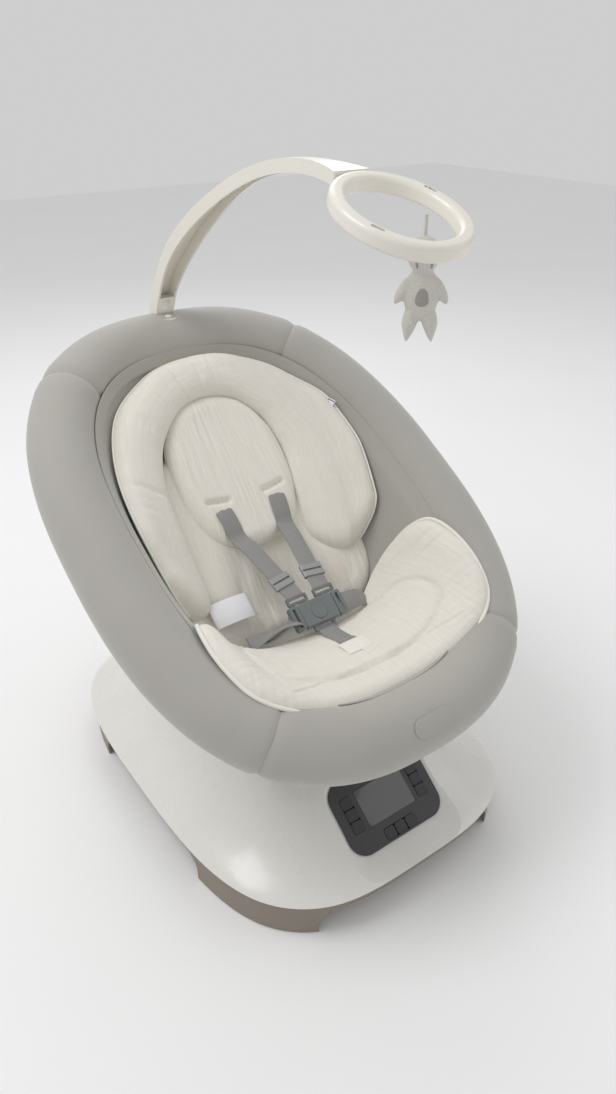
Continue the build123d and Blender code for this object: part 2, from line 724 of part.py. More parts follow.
def bowl(lift, top):
    """The bucket filled, its surface lifted inwards by a distance, cut off at a level w."""
    levels = lifted(bucket_levels, lift)
    w, u, low, high = levels[0]
    rise = lip_height - lift
    levels = [(w + rise, u + 0.4 * rise, low - 0.4 * rise, high + 2.0 * rise)] + levels
    with BuildPart() as filled:
        add(squircle_loft(seat_plane, levels, [rim_exponent] * len(levels)))
        with BuildPart(mode=Mode.PRIVATE) as above:
            with BuildSketch(seat_plane.offset(top)):
                Rectangle(4 * rim_half_width, 4 * rim_half_length)
            extrude(amount=2 * lip_height)
        add(above.part, mode=Mode.SUBTRACT)
    return filled.part


def flange(outset, low, high):
    """Flat plate with the rim's outline."""
    face = squircle_face(seat_plane.offset(low), rim_half_width + outset,
                         rim_half_length + outset, rim_exponent)
    with BuildPart() as plate:
        extrude(face, amount=high - low)
    return plate.part


lever_plane = Plane(origin=seat_point(0, lever_v, lever_w), x_dir=seat_plane.y_dir,
                    z_dir=(1, 0, 0))
ear_half_gap = lever_width / 2 + 0.5
bowl_top = flange_w + 1.0

with BuildPart() as seat_shell:
    add(bowl(0.0, flange_w))
    # hanging ribs: two lugs on the recline pivot and two ears for the release lever
    for side in (-1, 1):
        start = lug_half_gap if side > 0 else -lug_half_gap - lug_thickness
        with BuildSketch(pivot_plane.offset(start)):
            with BuildLine():
                Polyline((-11.5, 0.0), (-42.0, 45.0), (32.0, 62.0), (11.5, 0.0), close=True)
            make_face()
            Circle(11.5)
        extrude(amount=lug_thickness)
        ear = ear_half_gap if side > 0 else -ear_half_gap - ear_thickness
        with BuildSketch(lever_plane.offset(ear)):
            Circle(6.0)
            with Locations((2.0, ear_height / 2)):
                Rectangle(16.0, ear_height)
        extrude(amount=ear_thickness)
    add(rod(pivot_plane, pivot_radius + running_gap, -100.0, 100.0), mode=Mode.SUBTRACT)
    add(rod(lever_plane, lever_pin_radius + running_gap, -60.0, 60.0), mode=Mode.SUBTRACT)
    add(bowl(shell_wall, bowl_top), mode=Mode.SUBTRACT)
save(seat_shell, "seat_shell")

# ring that carries the padded rim, around the lip of the bucket
with BuildPart() as seat_flange:
    add(flange(flange_overlap, flange_w - shell_wall, flange_w))
    add(bowl(-part_gap, bowl_top), mode=Mode.SUBTRACT)
    for angle in seam_angles:
        x, y = squircle_point(rim_half_width, rim_half_length, rim_exponent, angle)
        add(rod(seat_plane, screw_radius + 0.1, 2 * flange_w, 0.0, (x, y)), mode=Mode.SUBTRACT)
save(seat_flange, "seat_flange")

liner_lift = shell_wall + part_gap
with BuildPart() as seat_liner:
    add(flange(-28.0, flange_w + part_gap, flange_w + part_gap + liner_wall - 0.6))
    add(bowl(liner_lift, flange_w + part_gap))
    add(bowl(liner_lift + liner_wall, flange_w + 6.0), mode=Mode.SUBTRACT)
save(seat_liner, "seat_liner")


def lying_fill(lift):
    """The space above the padding, its surface lifted by a distance."""
    return squircle_loft(seat_plane, lifted(lying_levels, lift),
                         [rim_exponent] * len(lying_levels))


def padding():
    """Everything soft between the liner and the surface a child lies on."""
    foot = flange_w + liner_wall + 2 * part_gap
    rise = [(foot, -33.5), (-20.0, -42.5), (0.0, -46.5)]
    levels = [(w, rim_half_width + d, -rim_half_length - d, rim_half_length + d)
              for w, d in rise]
    with BuildPart() as block:
        add(squircle_loft(seat_plane, levels, [rim_exponent] * len(levels)))
        add(bowl(liner_lift + liner_wall + part_gap, foot + 0.5))
        add(lying_fill(0.0), mode=Mode.SUBTRACT)
    return block.part


whole_padding = padding()
for pad_name, low, high in (("back_pad", crease_v + part_gap, 2 * rim_half_length),
                            ("seat_pad", -2 * rim_half_length, crease_v - part_gap)):
    with BuildPart() as pad:
        add(whole_padding)
        with BuildPart(mode=Mode.PRIVATE) as keep:
            with BuildSketch(seat_plane.offset(-300.0)):
                with Locations((0, (low + high) / 2)):
                    Rectangle(4 * rim_half_width, high - low)
            extrude(amount=600.0)
        add(keep.part, mode=Mode.INTERSECT)
    save(pad, pad_name)


def insert_layer(outline, thickness):
    """Soft layer of one thickness on the padding, inside an outline drawn in u and v."""
    with BuildPart() as layer:
        add(lying_fill(insert_gap))
        add(lying_fill(insert_gap + thickness), mode=Mode.SUBTRACT)
        with BuildPart(mode=Mode.PRIVATE) as column:
            extrude(outline, amount=insert_depth + 20.0)
        add(column.part, mode=Mode.INTERSECT)
    return layer.part


insert_base = seat_plane.offset(-insert_depth)
with BuildSketch(insert_base) as bolster_outline:
    with Locations((0, bolster_v)):
        Ellipse(bolster_half_width, bolster_half_length)
    with Locations((0, pillow_v)):
        Ellipse(pillow_half_width + part_gap, pillow_half_length + part_gap,
                mode=Mode.SUBTRACT)
    with Locations((0, bolster_v - 2 * bolster_half_length + leg_end_depth)):
        Rectangle(4 * bolster_half_width, 2 * bolster_half_length, mode=Mode.SUBTRACT)
    with Locations((0, pillow_v - pillow_half_length)):
        Rectangle(2 * leg_gap, 2 * pillow_half_length, mode=Mode.SUBTRACT)
with BuildPart() as head_bolster:
    add(insert_layer(bolster_outline.sketch, bolster_thickness))
save(head_bolster, "head_bolster")

with BuildSketch(insert_base) as pillow_outline:
    with Locations((0, pillow_v)):
        Ellipse(pillow_half_width, pillow_half_length)
with BuildPart() as head_pillow:
    add(insert_layer(pillow_outline.sketch, pillow_thickness))
save(head_pillow, "head_pillow")

with BuildPart() as vibration_unit:
    add(slab(seat_plane, 56.0, 34.0, 6.0, flange_w - shell_wall - 22.0,
             flange_w - shell_wall - part_gap, (0.0, rim_half_length - 78.0)))
save(vibration_unit, "vibration_unit")

# ------------------------------------------------------------------ harness
buckle_angle = radians(seat_tilt + buckle_tilt)
buckle_plane = Plane(origin=seat_point(*buckle_centre), x_dir=(1, 0, 0),
                     z_dir=(0, -sin(buckle_angle), cos(buckle_angle)))


def ribbon_plane(start, end):
    """Plane across a strap: origin at its start, z along it, x across its width."""
    run = end - start
    across = run.cross(seat_plane.z_dir).normalized()
    return Plane(origin=start, x_dir=across, z_dir=run.normalized())


def strap(start, end, width=webbing_width, thickness=webbing_thickness, trim=0.0):
    """Straight run of webbing between two world points, shortened at both ends."""
    plane = ribbon_plane(start, end)
    with BuildPart() as run:
        with BuildSketch(plane.offset(trim)):
            Rectangle(width, thickness)
        extrude(amount=(end - start).length - 2 * trim)
    return run.part


def buckle_point(x, y, z=0.0):
    """World place of a point of the buckle's own frame."""
    return buckle_plane.from_local_coords(Vector(x, y, z))


shoulder_x = buckle_u_half - 6.0
shoulder_ends = {side: buckle_point(side * shoulder_x, buckle_v_half + tongue_length)
                 for side in (-1, 1)}
shoulder_starts = {side: seat_point(side * shoulder_slot[0], *shoulder_slot[1:])
                   for side in (-1, 1)}
side_names = {-1: "left", 1: "right"}

with BuildPart() as buckle_body:
    add(slab(buckle_plane, 2 * buckle_u_half, 2 * buckle_v_half, 5.0, -buckle_thickness / 2,
             buckle_thickness / 2))
    top = buckle_body.faces().sort_by(Axis(buckle_plane.origin, buckle_plane.z_dir))[-1]
    chamfer(top.edges(), 1.5)
    add(rod(buckle_plane, buckle_button_radius + running_gap * 4, buckle_thickness / 2 - 5.0,
            buckle_thickness), mode=Mode.SUBTRACT)
    # crotch strap loop below the body
    add(slab(buckle_plane, webbing_width + 8.0, 10.0, 2.0, -2.0, 2.0,
             (0.0, -buckle_v_half - 3.0)))
    add(slab(buckle_plane, webbing_width + 1.0, 4.0, 1.0, -5.0, 5.0,
             (0.0, -buckle_v_half - 3.5)), mode=Mode.SUBTRACT)
save(buckle_body, "buckle_body")

with BuildPart() as buckle_button:
    add(rod(buckle_plane, buckle_button_radius, buckle_thickness / 2 - 2.0,
            buckle_thickness / 2 + 0.8))
    fillet(buckle_button.faces().sort_by(
        Axis(buckle_plane.origin, buckle_plane.z_dir))[-1].edges(), 0.7)
save(buckle_button, "buckle_button")

# a wing at each side of the body takes the waist strap and a bar above it the shoulder strap
with BuildPart() as buckle_tongues:
    for side in side_names:
        centre = (side * (buckle_u_half + tongue_length / 2 + part_gap), 0.0)
        add(slab(buckle_plane, tongue_length, 2 * buckle_v_half, 3.5, -buckle_thickness / 2 + 1,
                 buckle_thickness / 2 - 1, centre))
        add(slab(buckle_plane, 4.0, webbing_width + 1.0, 1.5, -20.0, 20.0, centre),
            mode=Mode.SUBTRACT)
        bar = (side * shoulder_x, buckle_v_half + tongue_length / 2 + part_gap)
        add(slab(buckle_plane, bar_width, tongue_length - 2.0, 2.0, -2.0, 2.0, bar))
        add(slab(buckle_plane, webbing_width + 0.6, 4.0, 1.0, -20.0, 20.0, bar),
            mode=Mode.SUBTRACT)
save(buckle_tongues, "buckle_tongues")

with BuildPart() as shoulder_straps:
    for side in side_names:
        add(strap(shoulder_starts[side], shoulder_ends[side], trim=1.0))
    add(head_pillow.part, mode=Mode.SUBTRACT)
    add(whole_padding, mode=Mode.SUBTRACT)
save(shoulder_straps, "shoulder_straps")

# the two waist straps and the crotch strap
with BuildPart() as lap_straps:
    for side in side_names:
        add(strap(buckle_point(side * (buckle_u_half + tongue_length + 1.0), -2.0, -1.0),
                  seat_point(side * waist_slot[0], *waist_slot[1:]), trim=2.0))
    add(strap(buckle_point(0, -buckle_v_half - 8.0, -1.0),
              seat_point(0, crotch_slot_v, crotch_slot_w), trim=1.0))
    add(whole_padding, mode=Mode.SUBTRACT)
save(lap_straps, "lap_straps")

for side, side_name in side_names.items():
    start, end = shoulder_starts[side], shoulder_ends[side]
    adjuster_plane = ribbon_plane(start, end).offset(adjuster_share * (end - start).length)
    with BuildPart() as adjuster:
        for drop in (0.0, adjuster_length / 2):
            with BuildSketch(adjuster_plane.offset(-drop)):
                RectangleRounded(webbing_width + 6.0, 7.0, 3.0)
            extrude(amount=-adjuster_length / 2 + 3.0)
        with BuildSketch(adjuster_plane):
            with Locations((-webbing_width / 2 - 1.75, 0), (webbing_width / 2 + 1.75, 0)):
                Rectangle(2.4, 4.0)
        extrude(amount=-adjuster_length + 3.0)
        with BuildSketch(adjuster_plane.offset(5.0)):
            Rectangle(webbing_width + 1.0, webbing_thickness + 1.2)
        extrude(amount=-2 * adjuster_length, mode=Mode.SUBTRACT)
    save(adjuster, f"strap_adjuster_{side_name}")

# a blank care label in the crease and a small side tag at the rim's inner edge
with BuildPart() as sewn_labels:
    add(slab(Plane(origin=seat_point(*care_label_centre), x_dir=(1, 0, 0), z_dir=(0, -0.6, 0.8)),
             60.0, 34.0, 2.0, -label_thickness / 2, label_thickness / 2))
    add(slab(Plane(origin=seat_point(*side_tag_centre), x_dir=(0, 1, 0), z_dir=(-0.8, 0, 0.6)),
             32.0, 18.0, 1.0, -label_thickness / 2, label_thickness / 2))
    add(whole_padding, mode=Mode.SUBTRACT)
    add(head_bolster.part, mode=Mode.SUBTRACT)
save(sewn_labels, "sewn_labels")

# ------------------------------------------------------------------ recline lever
with BuildPart() as recline_lever:
    with BuildSketch(lever_plane.offset(-lever_width / 2)):
        Circle(6.0)
        with Locations((lever_length / 2, -2.0)):
            Rectangle(lever_length, 5.0)
        with Locations((lever_length, -2.0)):
            Circle(5.0)
    extrude(amount=lever_width)
    add(rod(lever_plane, lever_pin_radius + running_gap, -60.0, 60.0), mode=Mode.SUBTRACT)
save(recline_lever, "recline_lever")

with BuildPart() as lever_pin:
    add(rod(lever_plane, lever_pin_radius, -ear_half_gap - 6.0, ear_half_gap + 6.0))
    add(rod(lever_plane, lever_pin_radius + 2.0, -ear_half_gap - 6.0, -ear_half_gap - 4.2))
    add(rod(lever_plane, lever_pin_radius + 2.0, ear_half_gap + 4.2, ear_half_gap + 6.0))
save(lever_pin, "lever_pin")

# ------------------------------------------------------------------ mobile
with BuildPart() as mobile_socket:
    add(rod(socket_plane, socket_radius, 0.0, socket_top_rise - 0.4))
    add(rod(socket_plane, swivel_pin_radius + running_gap, tube_radius + 3.0, 2 * rim_radius),
        mode=Mode.SUBTRACT)
    with BuildSketch(seam_plane(90.0).offset(-2 * socket_radius)):
        Circle(tube_radius + 0.1)
    extrude(amount=4 * socket_radius, mode=Mode.SUBTRACT)
save(mobile_socket, "mobile_socket")


def arm_side(depth_trim):
    """Side view of the arm between its outer and inner edges, in the plane x = 0."""
    with BuildLine() as centre:
        Spline(*[(y, z) for y, z in arm_points])
    edge = centre.line.edges()[0]
    outer, inner = [], []
    steps = 12
    for i in range(steps + 1):
        share = i / steps
        depth = (arm_base_depth + (arm_tip_depth - arm_base_depth) * min(1, share * 1.6)) / 2
        point, along = edge @ share, edge % share
        out = Vector(along.Y, -along.X)
        outer.append(point + out * (depth - depth_trim))
        inner.append(point - out * (depth + depth_trim * 2))
    with BuildSketch(Plane.YZ) as side:
        with BuildLine():
            Spline(*outer)
            Spline(*inner)
            Line(outer[0], inner[0])
            Line(outer[-1], inner[-1])
        make_face()
    return side.sketch


def arm_plan(trim, height):
    """Top view of the arm, tapering from its foot and flaring into the ring."""
    base_y, tip_y = arm_points[0][0], arm_points[-1][0]
    base, tip = arm_base_half_width - trim, arm_tip_half_width - trim
    flare = 24.0 - trim
    with BuildPart() as block:
        with BuildSketch(Plane.XY):
            with BuildLine():
                Line((base, base_y + 40), (base, base_y - 30))
                Spline((base, base_y - 30), (tip, 60), (tip, -90), (flare, tip_y - 10))
                Line((flare, tip_y - 10), (-flare, tip_y - 10))
                Spline((-flare, tip_y - 10), (-tip, -90), (-tip, 60), (-base, base_y - 30))
                Line((-base, base_y - 30), (-base, base_y + 40))
                Line((-base, base_y + 40), (base, base_y + 40))
            make_face()
        extrude(amount=height)
    return block.part


ring_angle = radians(ring_tilt)
ring_plane = Plane(origin=ring_centre, x_dir=(1, 0, 0), z_dir=(0, -sin(ring_angle), cos(ring_angle)))


def ring_point(angle, reach=0.0, height=0.0):
    """World place of a point of the ring's centreline."""
    x = (ring_half_width + reach) * cos(radians(angle))
    y = (ring_half_length + reach) * sin(radians(angle))
    return ring_plane.from_local_coords(Vector(x, y, height))


def ring_block(spread, low, high):
    """Elliptic disc of the ring's outline."""
    with BuildPart() as block:
        with BuildSketch(ring_plane.offset(low)):
            Ellipse(ring_half_width + spread, ring_half_length + spread)
        extrude(amount=high - low)
    return block.part


def slot_cut(angle):
    """Upright slot through the ring for a toy's loop."""
    x = ring_half_width * cos(radians(angle))
    y = ring_half_length * sin(radians(angle))
    along = degrees(atan2(ring_half_length * cos(radians(angle)),
                          -ring_half_width * sin(radians(angle))))
    with BuildPart() as cut:
        with BuildSketch(ring_plane.offset(-2 * ring_height)):
            with Locations(Location((x, y, 0), (0, 0, along))):
                SlotOverall(toy_slot_length, toy_slot_width)
        extrude(amount=4 * ring_height)
    return cut.part


socket_top = socket_axis_point.Z + socket_top_rise
release_plane = socket_plane.shift_origin(socket_plane.origin + Vector(0, -release_offset, 0))
with BuildPart() as mobile_arm:
    with BuildPart(mode=Mode.PRIVATE) as channel:
        extrude(arm_side(0.0), amount=2 * arm_base_half_width, both=True)
        add(arm_plan(0.0, 1200.0), mode=Mode.INTERSECT)
        with BuildPart(mode=Mode.PRIVATE) as hollow:
            extrude(arm_side(arm_wall), amount=2 * arm_base_half_width, both=True)
            add(arm_plan(arm_wall, 1200.0), mode=Mode.INTERSECT)
            add(slab(Plane.XY, 60.0, 60.0, 1.0, 0.0, socket_top + 34.0,
                     (0.0, arm_points[0][0])), mode=Mode.SUBTRACT)
        add(hollow.part, mode=Mode.SUBTRACT)
        add(ring_block(ring_section / 2 + 0.2, -40.0, 40.0), mode=Mode.SUBTRACT)
    add(channel.part)
    add(rod(socket_plane, socket_radius - 0.5, socket_top_rise, socket_top_rise + foot_disc_height))
    add(rod(socket_plane, swivel_pin_radius, tube_radius + 6.0, socket_top_rise))
    # everything low enough to meet the padded rim turns inside the socket's circle
    with BuildPart(mode=Mode.PRIVATE) as swept_clear:
        add(slab(socket_plane, 120.0, 120.0, 1.0, tube_radius, rim_radius + 2.0))
        add(rod(socket_plane, socket_radius - 0.5, 0.0, 2 * rim_radius), mode=Mode.SUBTRACT)
    add(swept_clear.part, mode=Mode.SUBTRACT)
    add(rod(release_plane, release_radius + button_clearance, socket_top_rise + 1.0,
            socket_top_rise + 30.0), mode=Mode.SUBTRACT)
save(mobile_arm, "mobile_arm")

with BuildPart() as mobile_release_button:
    add(rod(release_plane, release_radius, socket_top_rise + 4.2,
            socket_top_rise + foot_disc_height + 3.5))
    fillet(mobile_release_button.faces().sort_by(Axis.Z)[-1].edges(), 3.0)
save(mobile_release_button, "mobile_release_button")

with BuildPart() as mobile_ring:
    add(ring_block(ring_section / 2, -ring_height / 2, ring_height / 2))
    add(ring_block(-ring_section / 2, -ring_height, ring_height), mode=Mode.SUBTRACT)
    rims = mobile_ring.faces().filter_by(lambda f: f.geom_type == GeomType.PLANE)
    fillet(rims.edges(), ring_section / 2 - 2.5)
    for angle in (toy_slot_angle, spare_slot_angle):
        add(slot_cut(angle), mode=Mode.SUBTRACT)
save(mobile_ring, "mobile_ring")

# ------------------------------------------------------------------ toy
toy_hang = ring_point(toy_slot_angle)
toy_pivot_z = toy_hang.Z - ring_height / 2 - 1.0
loop_top = toy_pivot_z - loop_width / 2
loop_bottom = toy_hang.Z - ring_height / 2 - loop_drop
toy_plane = Plane(origin=(toy_hang.X, toy_hang.Y, 0), x_dir=(1, 0, 0), z_dir=(0, 0, 1))
with BuildPart() as toy:
    # the ribbon below the ring; it turns about a line just under the ring's slot
    add(slab(toy_plane, loop_width, 1.6, 0.7, loop_bottom - 3.0, loop_top))
    head_z = loop_bottom - 20.0
    with BuildPart(mode=Mode.PRIVATE) as head:
        add(rod(toy_plane, 17.0, head_z - 18.0, head_z + 19.7))
        fillet(head.edges().filter_by(GeomType.CIRCLE), 15.0)
    add(head.part)
    add(slab(toy_plane, 40.0, 20.0, 9.0, loop_bottom - toy_height + 22.0, head_z - 10.0))
    for side in (-1, 1):
        add(rod(toy_plane, 8.0, loop_bottom - toy_height, head_z - 30.0, (side * 11.0, 0.0)))
save(toy, "toy")
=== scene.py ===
"""Looks of the baby swing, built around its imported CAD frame. Metres, in the CAD's own frame."""
import json
import math

import bmesh
import bpy
from mathutils import Matrix, Vector, noise


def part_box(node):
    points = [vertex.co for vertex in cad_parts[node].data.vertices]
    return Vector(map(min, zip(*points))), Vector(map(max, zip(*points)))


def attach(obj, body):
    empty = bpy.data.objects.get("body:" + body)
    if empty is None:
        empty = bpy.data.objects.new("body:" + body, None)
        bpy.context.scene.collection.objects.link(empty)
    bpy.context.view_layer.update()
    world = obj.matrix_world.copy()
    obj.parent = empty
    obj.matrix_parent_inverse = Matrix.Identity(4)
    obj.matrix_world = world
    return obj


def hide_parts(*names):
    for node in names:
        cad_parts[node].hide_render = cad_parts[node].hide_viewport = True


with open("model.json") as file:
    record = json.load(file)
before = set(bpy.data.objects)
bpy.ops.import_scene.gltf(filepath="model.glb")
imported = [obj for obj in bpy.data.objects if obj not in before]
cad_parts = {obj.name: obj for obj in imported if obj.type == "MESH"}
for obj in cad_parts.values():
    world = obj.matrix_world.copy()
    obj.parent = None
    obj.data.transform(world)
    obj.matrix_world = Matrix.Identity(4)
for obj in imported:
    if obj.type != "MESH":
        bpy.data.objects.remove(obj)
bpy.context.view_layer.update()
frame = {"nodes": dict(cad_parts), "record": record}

MM = 0.001

# ---------------------------------------------------------------- the seat's own frame
SEAT_TILT = math.radians(29.31)
RIM_HEIGHT = 417.6
RIM_HALF_WIDTH, RIM_HALF_LENGTH, RIM_EXPONENT = 240.0, 321.7, 2.58
RIM_RADIUS = 43.65
FRONT_SEAM, HEAD_SEAM = 40.5, 41.3

# surface a child lies on: w, half width, lowest v, highest v
LYING = [(0.0, 189.0, -265.0, 265.0), (-30.0, 180.0, -213.0, 188.0),
         (-60.0, 167.0, -183.0, 88.0), (-90.0, 148.0, -154.0, -2.0),
         (-118.0, 106.0, -125.0, -75.0)]


def seat(u, v, w=0.0):
    """World place, in metres, of a point given in millimetres in the seat's frame."""
    return Vector((u, v * math.cos(SEAT_TILT) - w * math.sin(SEAT_TILT),
                   RIM_HEIGHT + v * math.sin(SEAT_TILT) + w * math.cos(SEAT_TILT))) * MM


SEAT_UP = (seat(0, 0, 1) - seat(0, 0, 0)).normalized()


def squircle(a, b, n, degrees):
    """Point of |x/a|^n + |y/b|^n = 1 at an angle measured on the unit shape."""
    c, s = math.cos(math.radians(degrees)), math.sin(math.radians(degrees))
    r = (abs(c) ** n + abs(s) ** n) ** (-1 / n)
    return a * r * c, b * r * s


def mix(a, b, t):
    return a + (b - a) * t


def smooth(t):
    """Eases from 0 to 1, flat at both ends."""
    t = min(1.0, max(0.0, t))
    return t * t * (3 - 2 * t)


def bowl_half_axes(w):
    """Half width, lowest and highest v of the lying surface at a level."""
    for (w0, *upper), (w1, *lower) in zip(LYING, LYING[1:]):
        if w >= w1:
            t = (w0 - w) / (w0 - w1)
            return [mix(x, y, t) for x, y in zip(upper, lower)]
    return list(LYING[-1][1:])


def bowl_w(u, v):
    """Height w of the lying surface under a point."""
    low, high = LYING[-1][0], 40.0
    for _ in range(22):
        w = (low + high) / 2
        a, v0, v1 = bowl_half_axes(w)
        inside = abs(u / a) ** RIM_EXPONENT + abs((v - (v0 + v1) / 2) / ((v1 - v0) / 2)) \
            ** RIM_EXPONENT < 1
        if inside:
            high = w
        else:
            low = w
    return (low + high) / 2


GRID_STEP = 6.0
GRID_U, GRID_V = 40, 54


def bowl_grid():
    """The lying surface on a grid, blurred so that its levels don't show as creases."""
    rows = [[bowl_w(i * GRID_STEP, j * GRID_STEP) for i in range(-GRID_U, GRID_U + 1)]
            for j in range(-GRID_V, GRID_V + 1)]
    for _ in range(5):
        padded_rows = [rows[0]] + rows + [rows[-1]]
        rows = [[(a + 2 * b + c) / 4 for a, b, c in zip(r0, r1, r2)]
                for r0, r1, r2 in zip(padded_rows, padded_rows[1:], padded_rows[2:])]
        rows = [[(r[max(i - 1, 0)] + 2 * r[i] + r[min(i + 1, len(r) - 1)]) / 4
                 for i in range(len(r))] for r in rows]
    return rows


BOWL = bowl_grid()


def lying_w(u, v):
    """Height of the lying surface, read from the blurred grid."""
    x = min(2 * GRID_U - 0.001, max(0.0, u / GRID_STEP + GRID_U))
    y = min(2 * GRID_V - 0.001, max(0.0, v / GRID_STEP + GRID_V))
    i, j = int(x), int(y)
    lower = mix(BOWL[j][i], BOWL[j][i + 1], x - i)
    upper = mix(BOWL[j + 1][i], BOWL[j + 1][i + 1], x - i)
    return mix(lower, upper, y - j)


def lying_normal(u, v, step=5.0):
    """Normal of the lying surface, in the seat's frame."""
    du = (lying_w(u + step, v) - lying_w(u - step, v)) / (2 * step)
    dv = (lying_w(u, v + step) - lying_w(u, v - step)) / (2 * step)
    return Vector((-du, -dv, 1.0)).normalized()


def on_bowl(u, v, height):
    """World place a height above the lying surface, square to it."""
    n = lying_normal(u, v)
    return seat(u + n.x * height, v + n.y * height, lying_w(u, v) + n.z * height)


# ---------------------------------------------------------------- mesh helpers
def new_object(name, bm, material, smooth_shading=True):
    """Turns a bmesh into an object with one material."""
    bmesh.ops.recalc_face_normals(bm, faces=bm.faces)
    mesh = bpy.data.meshes.new(name)
    bm.to_mesh(mesh)
    bm.free()
    for polygon in mesh.polygons:
        polygon.use_smooth = smooth_shading
    mesh.materials.append(material)
    obj = bpy.data.objects.new(name, mesh)
    bpy.context.scene.collection.objects.link(obj)
    return obj


def grid_faces(bm, rows, wrap_rows=False, wrap_columns=False, uvs=None):
    """Quads through rows of points; uvs has one (x, y) per point."""
    verts = [[bm.verts.new(p) for p in row] for row in rows]
    layer = bm.loops.layers.uv.verify() if uvs else None
    n, m = len(rows), len(rows[0])
    for i in range(n if wrap_rows else n - 1):
        for j in range(m if wrap_columns else m - 1):
            corners = [(i, j), ((i + 1) % n, j), ((i + 1) % n, (j + 1) % m), (i, (j + 1) % m)]
            face = bm.faces.new([verts[a][b] for a, b in corners])
            if uvs:
                for loop, (a, b) in zip(face.loops, corners):
                    loop[layer].uv = uvs[a][b]
    return verts


def tube(bm, points, radius, sides=10, closed=False, flat=1.0):
    """Round or flattened tube along points, with closed ends."""
    count = len(points)
    rows = []
    for i, p in enumerate(points):
        before = points[i - 1] if i or closed else p
        after = points[(i + 1) % count] if i < count - 1 or closed else p
        along = (after - before).normalized()
        side = along.cross(SEAT_UP)
        side = side.normalized() if side.length > 1e-4 else Vector((1, 0, 0))
        up = side.cross(along)
        r = radius(i / (count - 1)) if callable(radius) else radius
        rows.append([p + (side * math.cos(2 * math.pi * k / sides)
                          + up * math.sin(2 * math.pi * k / sides) * flat) * r
                     for k in range(sides)])
    verts = grid_faces(bm, rows, wrap_rows=closed, wrap_columns=True)
    if not closed:
        bm.faces.new(verts[0])
        bm.faces.new(verts[-1][::-1])


def ribbon(bm, centres, sides, width, thickness):
    """Flat band of webbing: centres are points, sides its width directions."""
    rows, uvs, run = [], [], 0.0
    for i, (p, side) in enumerate(zip(centres, sides)):
        before, after = centres[max(i - 1, 0)], centres[min(i + 1, len(centres) - 1)]
        along = (after - before).normalized()
        face = side.cross(along).normalized()
        if i:
            run += (p - centres[i - 1]).length
        half, t = width / 2, thickness / 2
        outline = [(-half, -t), (-half + t, -t * 1.6), (half - t, -t * 1.6), (half, -t),
                   (half, t), (half - t, t * 1.6), (-half + t, t * 1.6), (-half, t)]
        rows.append([p + side * x + face * y for x, y in outline])
        uvs.append([(x / MM, run / MM) for x, _ in outline])
    verts = grid_faces(bm, rows, wrap_columns=True, uvs=uvs)
    bm.faces.new(verts[0])
    bm.faces.new(verts[-1][::-1])


def arc_points(points, steps=8):
    """Smooth curve through a few points."""
    out = []
    last = len(points) - 1
    for i in range(last):
        p0, p1, p2, p3 = (points[max(i - 1, 0)], points[i], points[i + 1],
                          points[min(i + 2, last)])
        for k in range(steps):
            t = k / steps
            out.append(0.5 * (2 * p1 + (p2 - p0) * t + (2 * p0 - 5 * p1 + 4 * p2 - p3) * t ** 2
                              + (3 * p1 - p0 - 3 * p2 + p3) * t ** 3))
    out.append(points[-1].copy())
    return out


def crinkle(across, along, seed, spacing=9.0, length=70.0):
    """Height in mm of creased muslin: thin ridges that run one way and fade in and out."""
    total = 0.0
    for scale, height in ((1.0, 1.0), (0.45, 0.5)):
        p = Vector((across / (spacing * scale), along / (length * scale), seed + scale * 7.3))
        ridge = 1.0 - 2.2 * abs(noise.noise(p))
        patch = 0.55 + 0.9 * noise.noise(Vector((across / 60, along / 60, seed + 3.1)))
        total += height * ridge * max(0.0, patch)
    return total


# ---------------------------------------------------------------- materials
def linear(hex_colour):
    """Linear RGBA of an sRGB hex colour."""
    channels = [int(hex_colour[i:i + 2], 16) / 255 for i in (1, 3, 5)]
    return [c / 12.92 if c <= 0.04045 else ((c + 0.055) / 1.055) ** 2.4 for c in channels] + [1.0]


def add_node(tree, kind, inputs=None, **settings):
    """Adds a node, sets its options, and links or sets its inputs."""
    made = tree.nodes.new(kind)
    for key, value in settings.items():
        setattr(made, key, value)
    for key, value in (inputs or {}).items():
        if isinstance(value, bpy.types.NodeSocket):
            tree.links.new(value, made.inputs[key])
        else:
            made.inputs[key].default_value = value
    return made


def start_material(name):
    material = bpy.data.materials.new(name)
    material.use_nodes = True
    tree = material.node_tree
    tree.nodes.clear()
    return material, tree


def two_tones(tree, factor, dark, light):
    """Colour that drifts between two close tones."""
    ramp = add_node(tree, "ShaderNodeMix", {"Factor": factor}, data_type="RGBA")
    ramp.inputs[6].default_value = linear(dark)
    ramp.inputs[7].default_value = linear(light)
    return ramp.outputs[2]


def scaled(tree, vector, scale):
    """Coordinates multiplied per axis."""
    return add_node(tree, "ShaderNodeVectorMath", {0: vector, 1: scale},
                    operation="MULTIPLY").outputs[0]


def roughness_band(tree, factor, low, high):
    return add_node(tree, "ShaderNodeMapRange", {"Value": factor, "To Min": low,
                                                 "To Max": high}).outputs[0]


def close_material(tree, colour, roughness, normal=None, **sockets):
    inputs = {"Base Color": colour, "Roughness": roughness}
    if normal is not None:
        inputs["Normal"] = normal
    inputs.update({key.replace("_", " "): value for key, value in sockets.items()})
    shader = add_node(tree, "ShaderNodeBsdfPrincipled", inputs)
    add_node(tree, "ShaderNodeOutputMaterial", {"Surface": shader.outputs[0]})


def bump(tree, height, strength, distance_mm):
    return add_node(tree, "ShaderNodeBump", {"Height": height, "Strength": strength,
                                             "Distance": distance_mm * MM}).outputs[0]


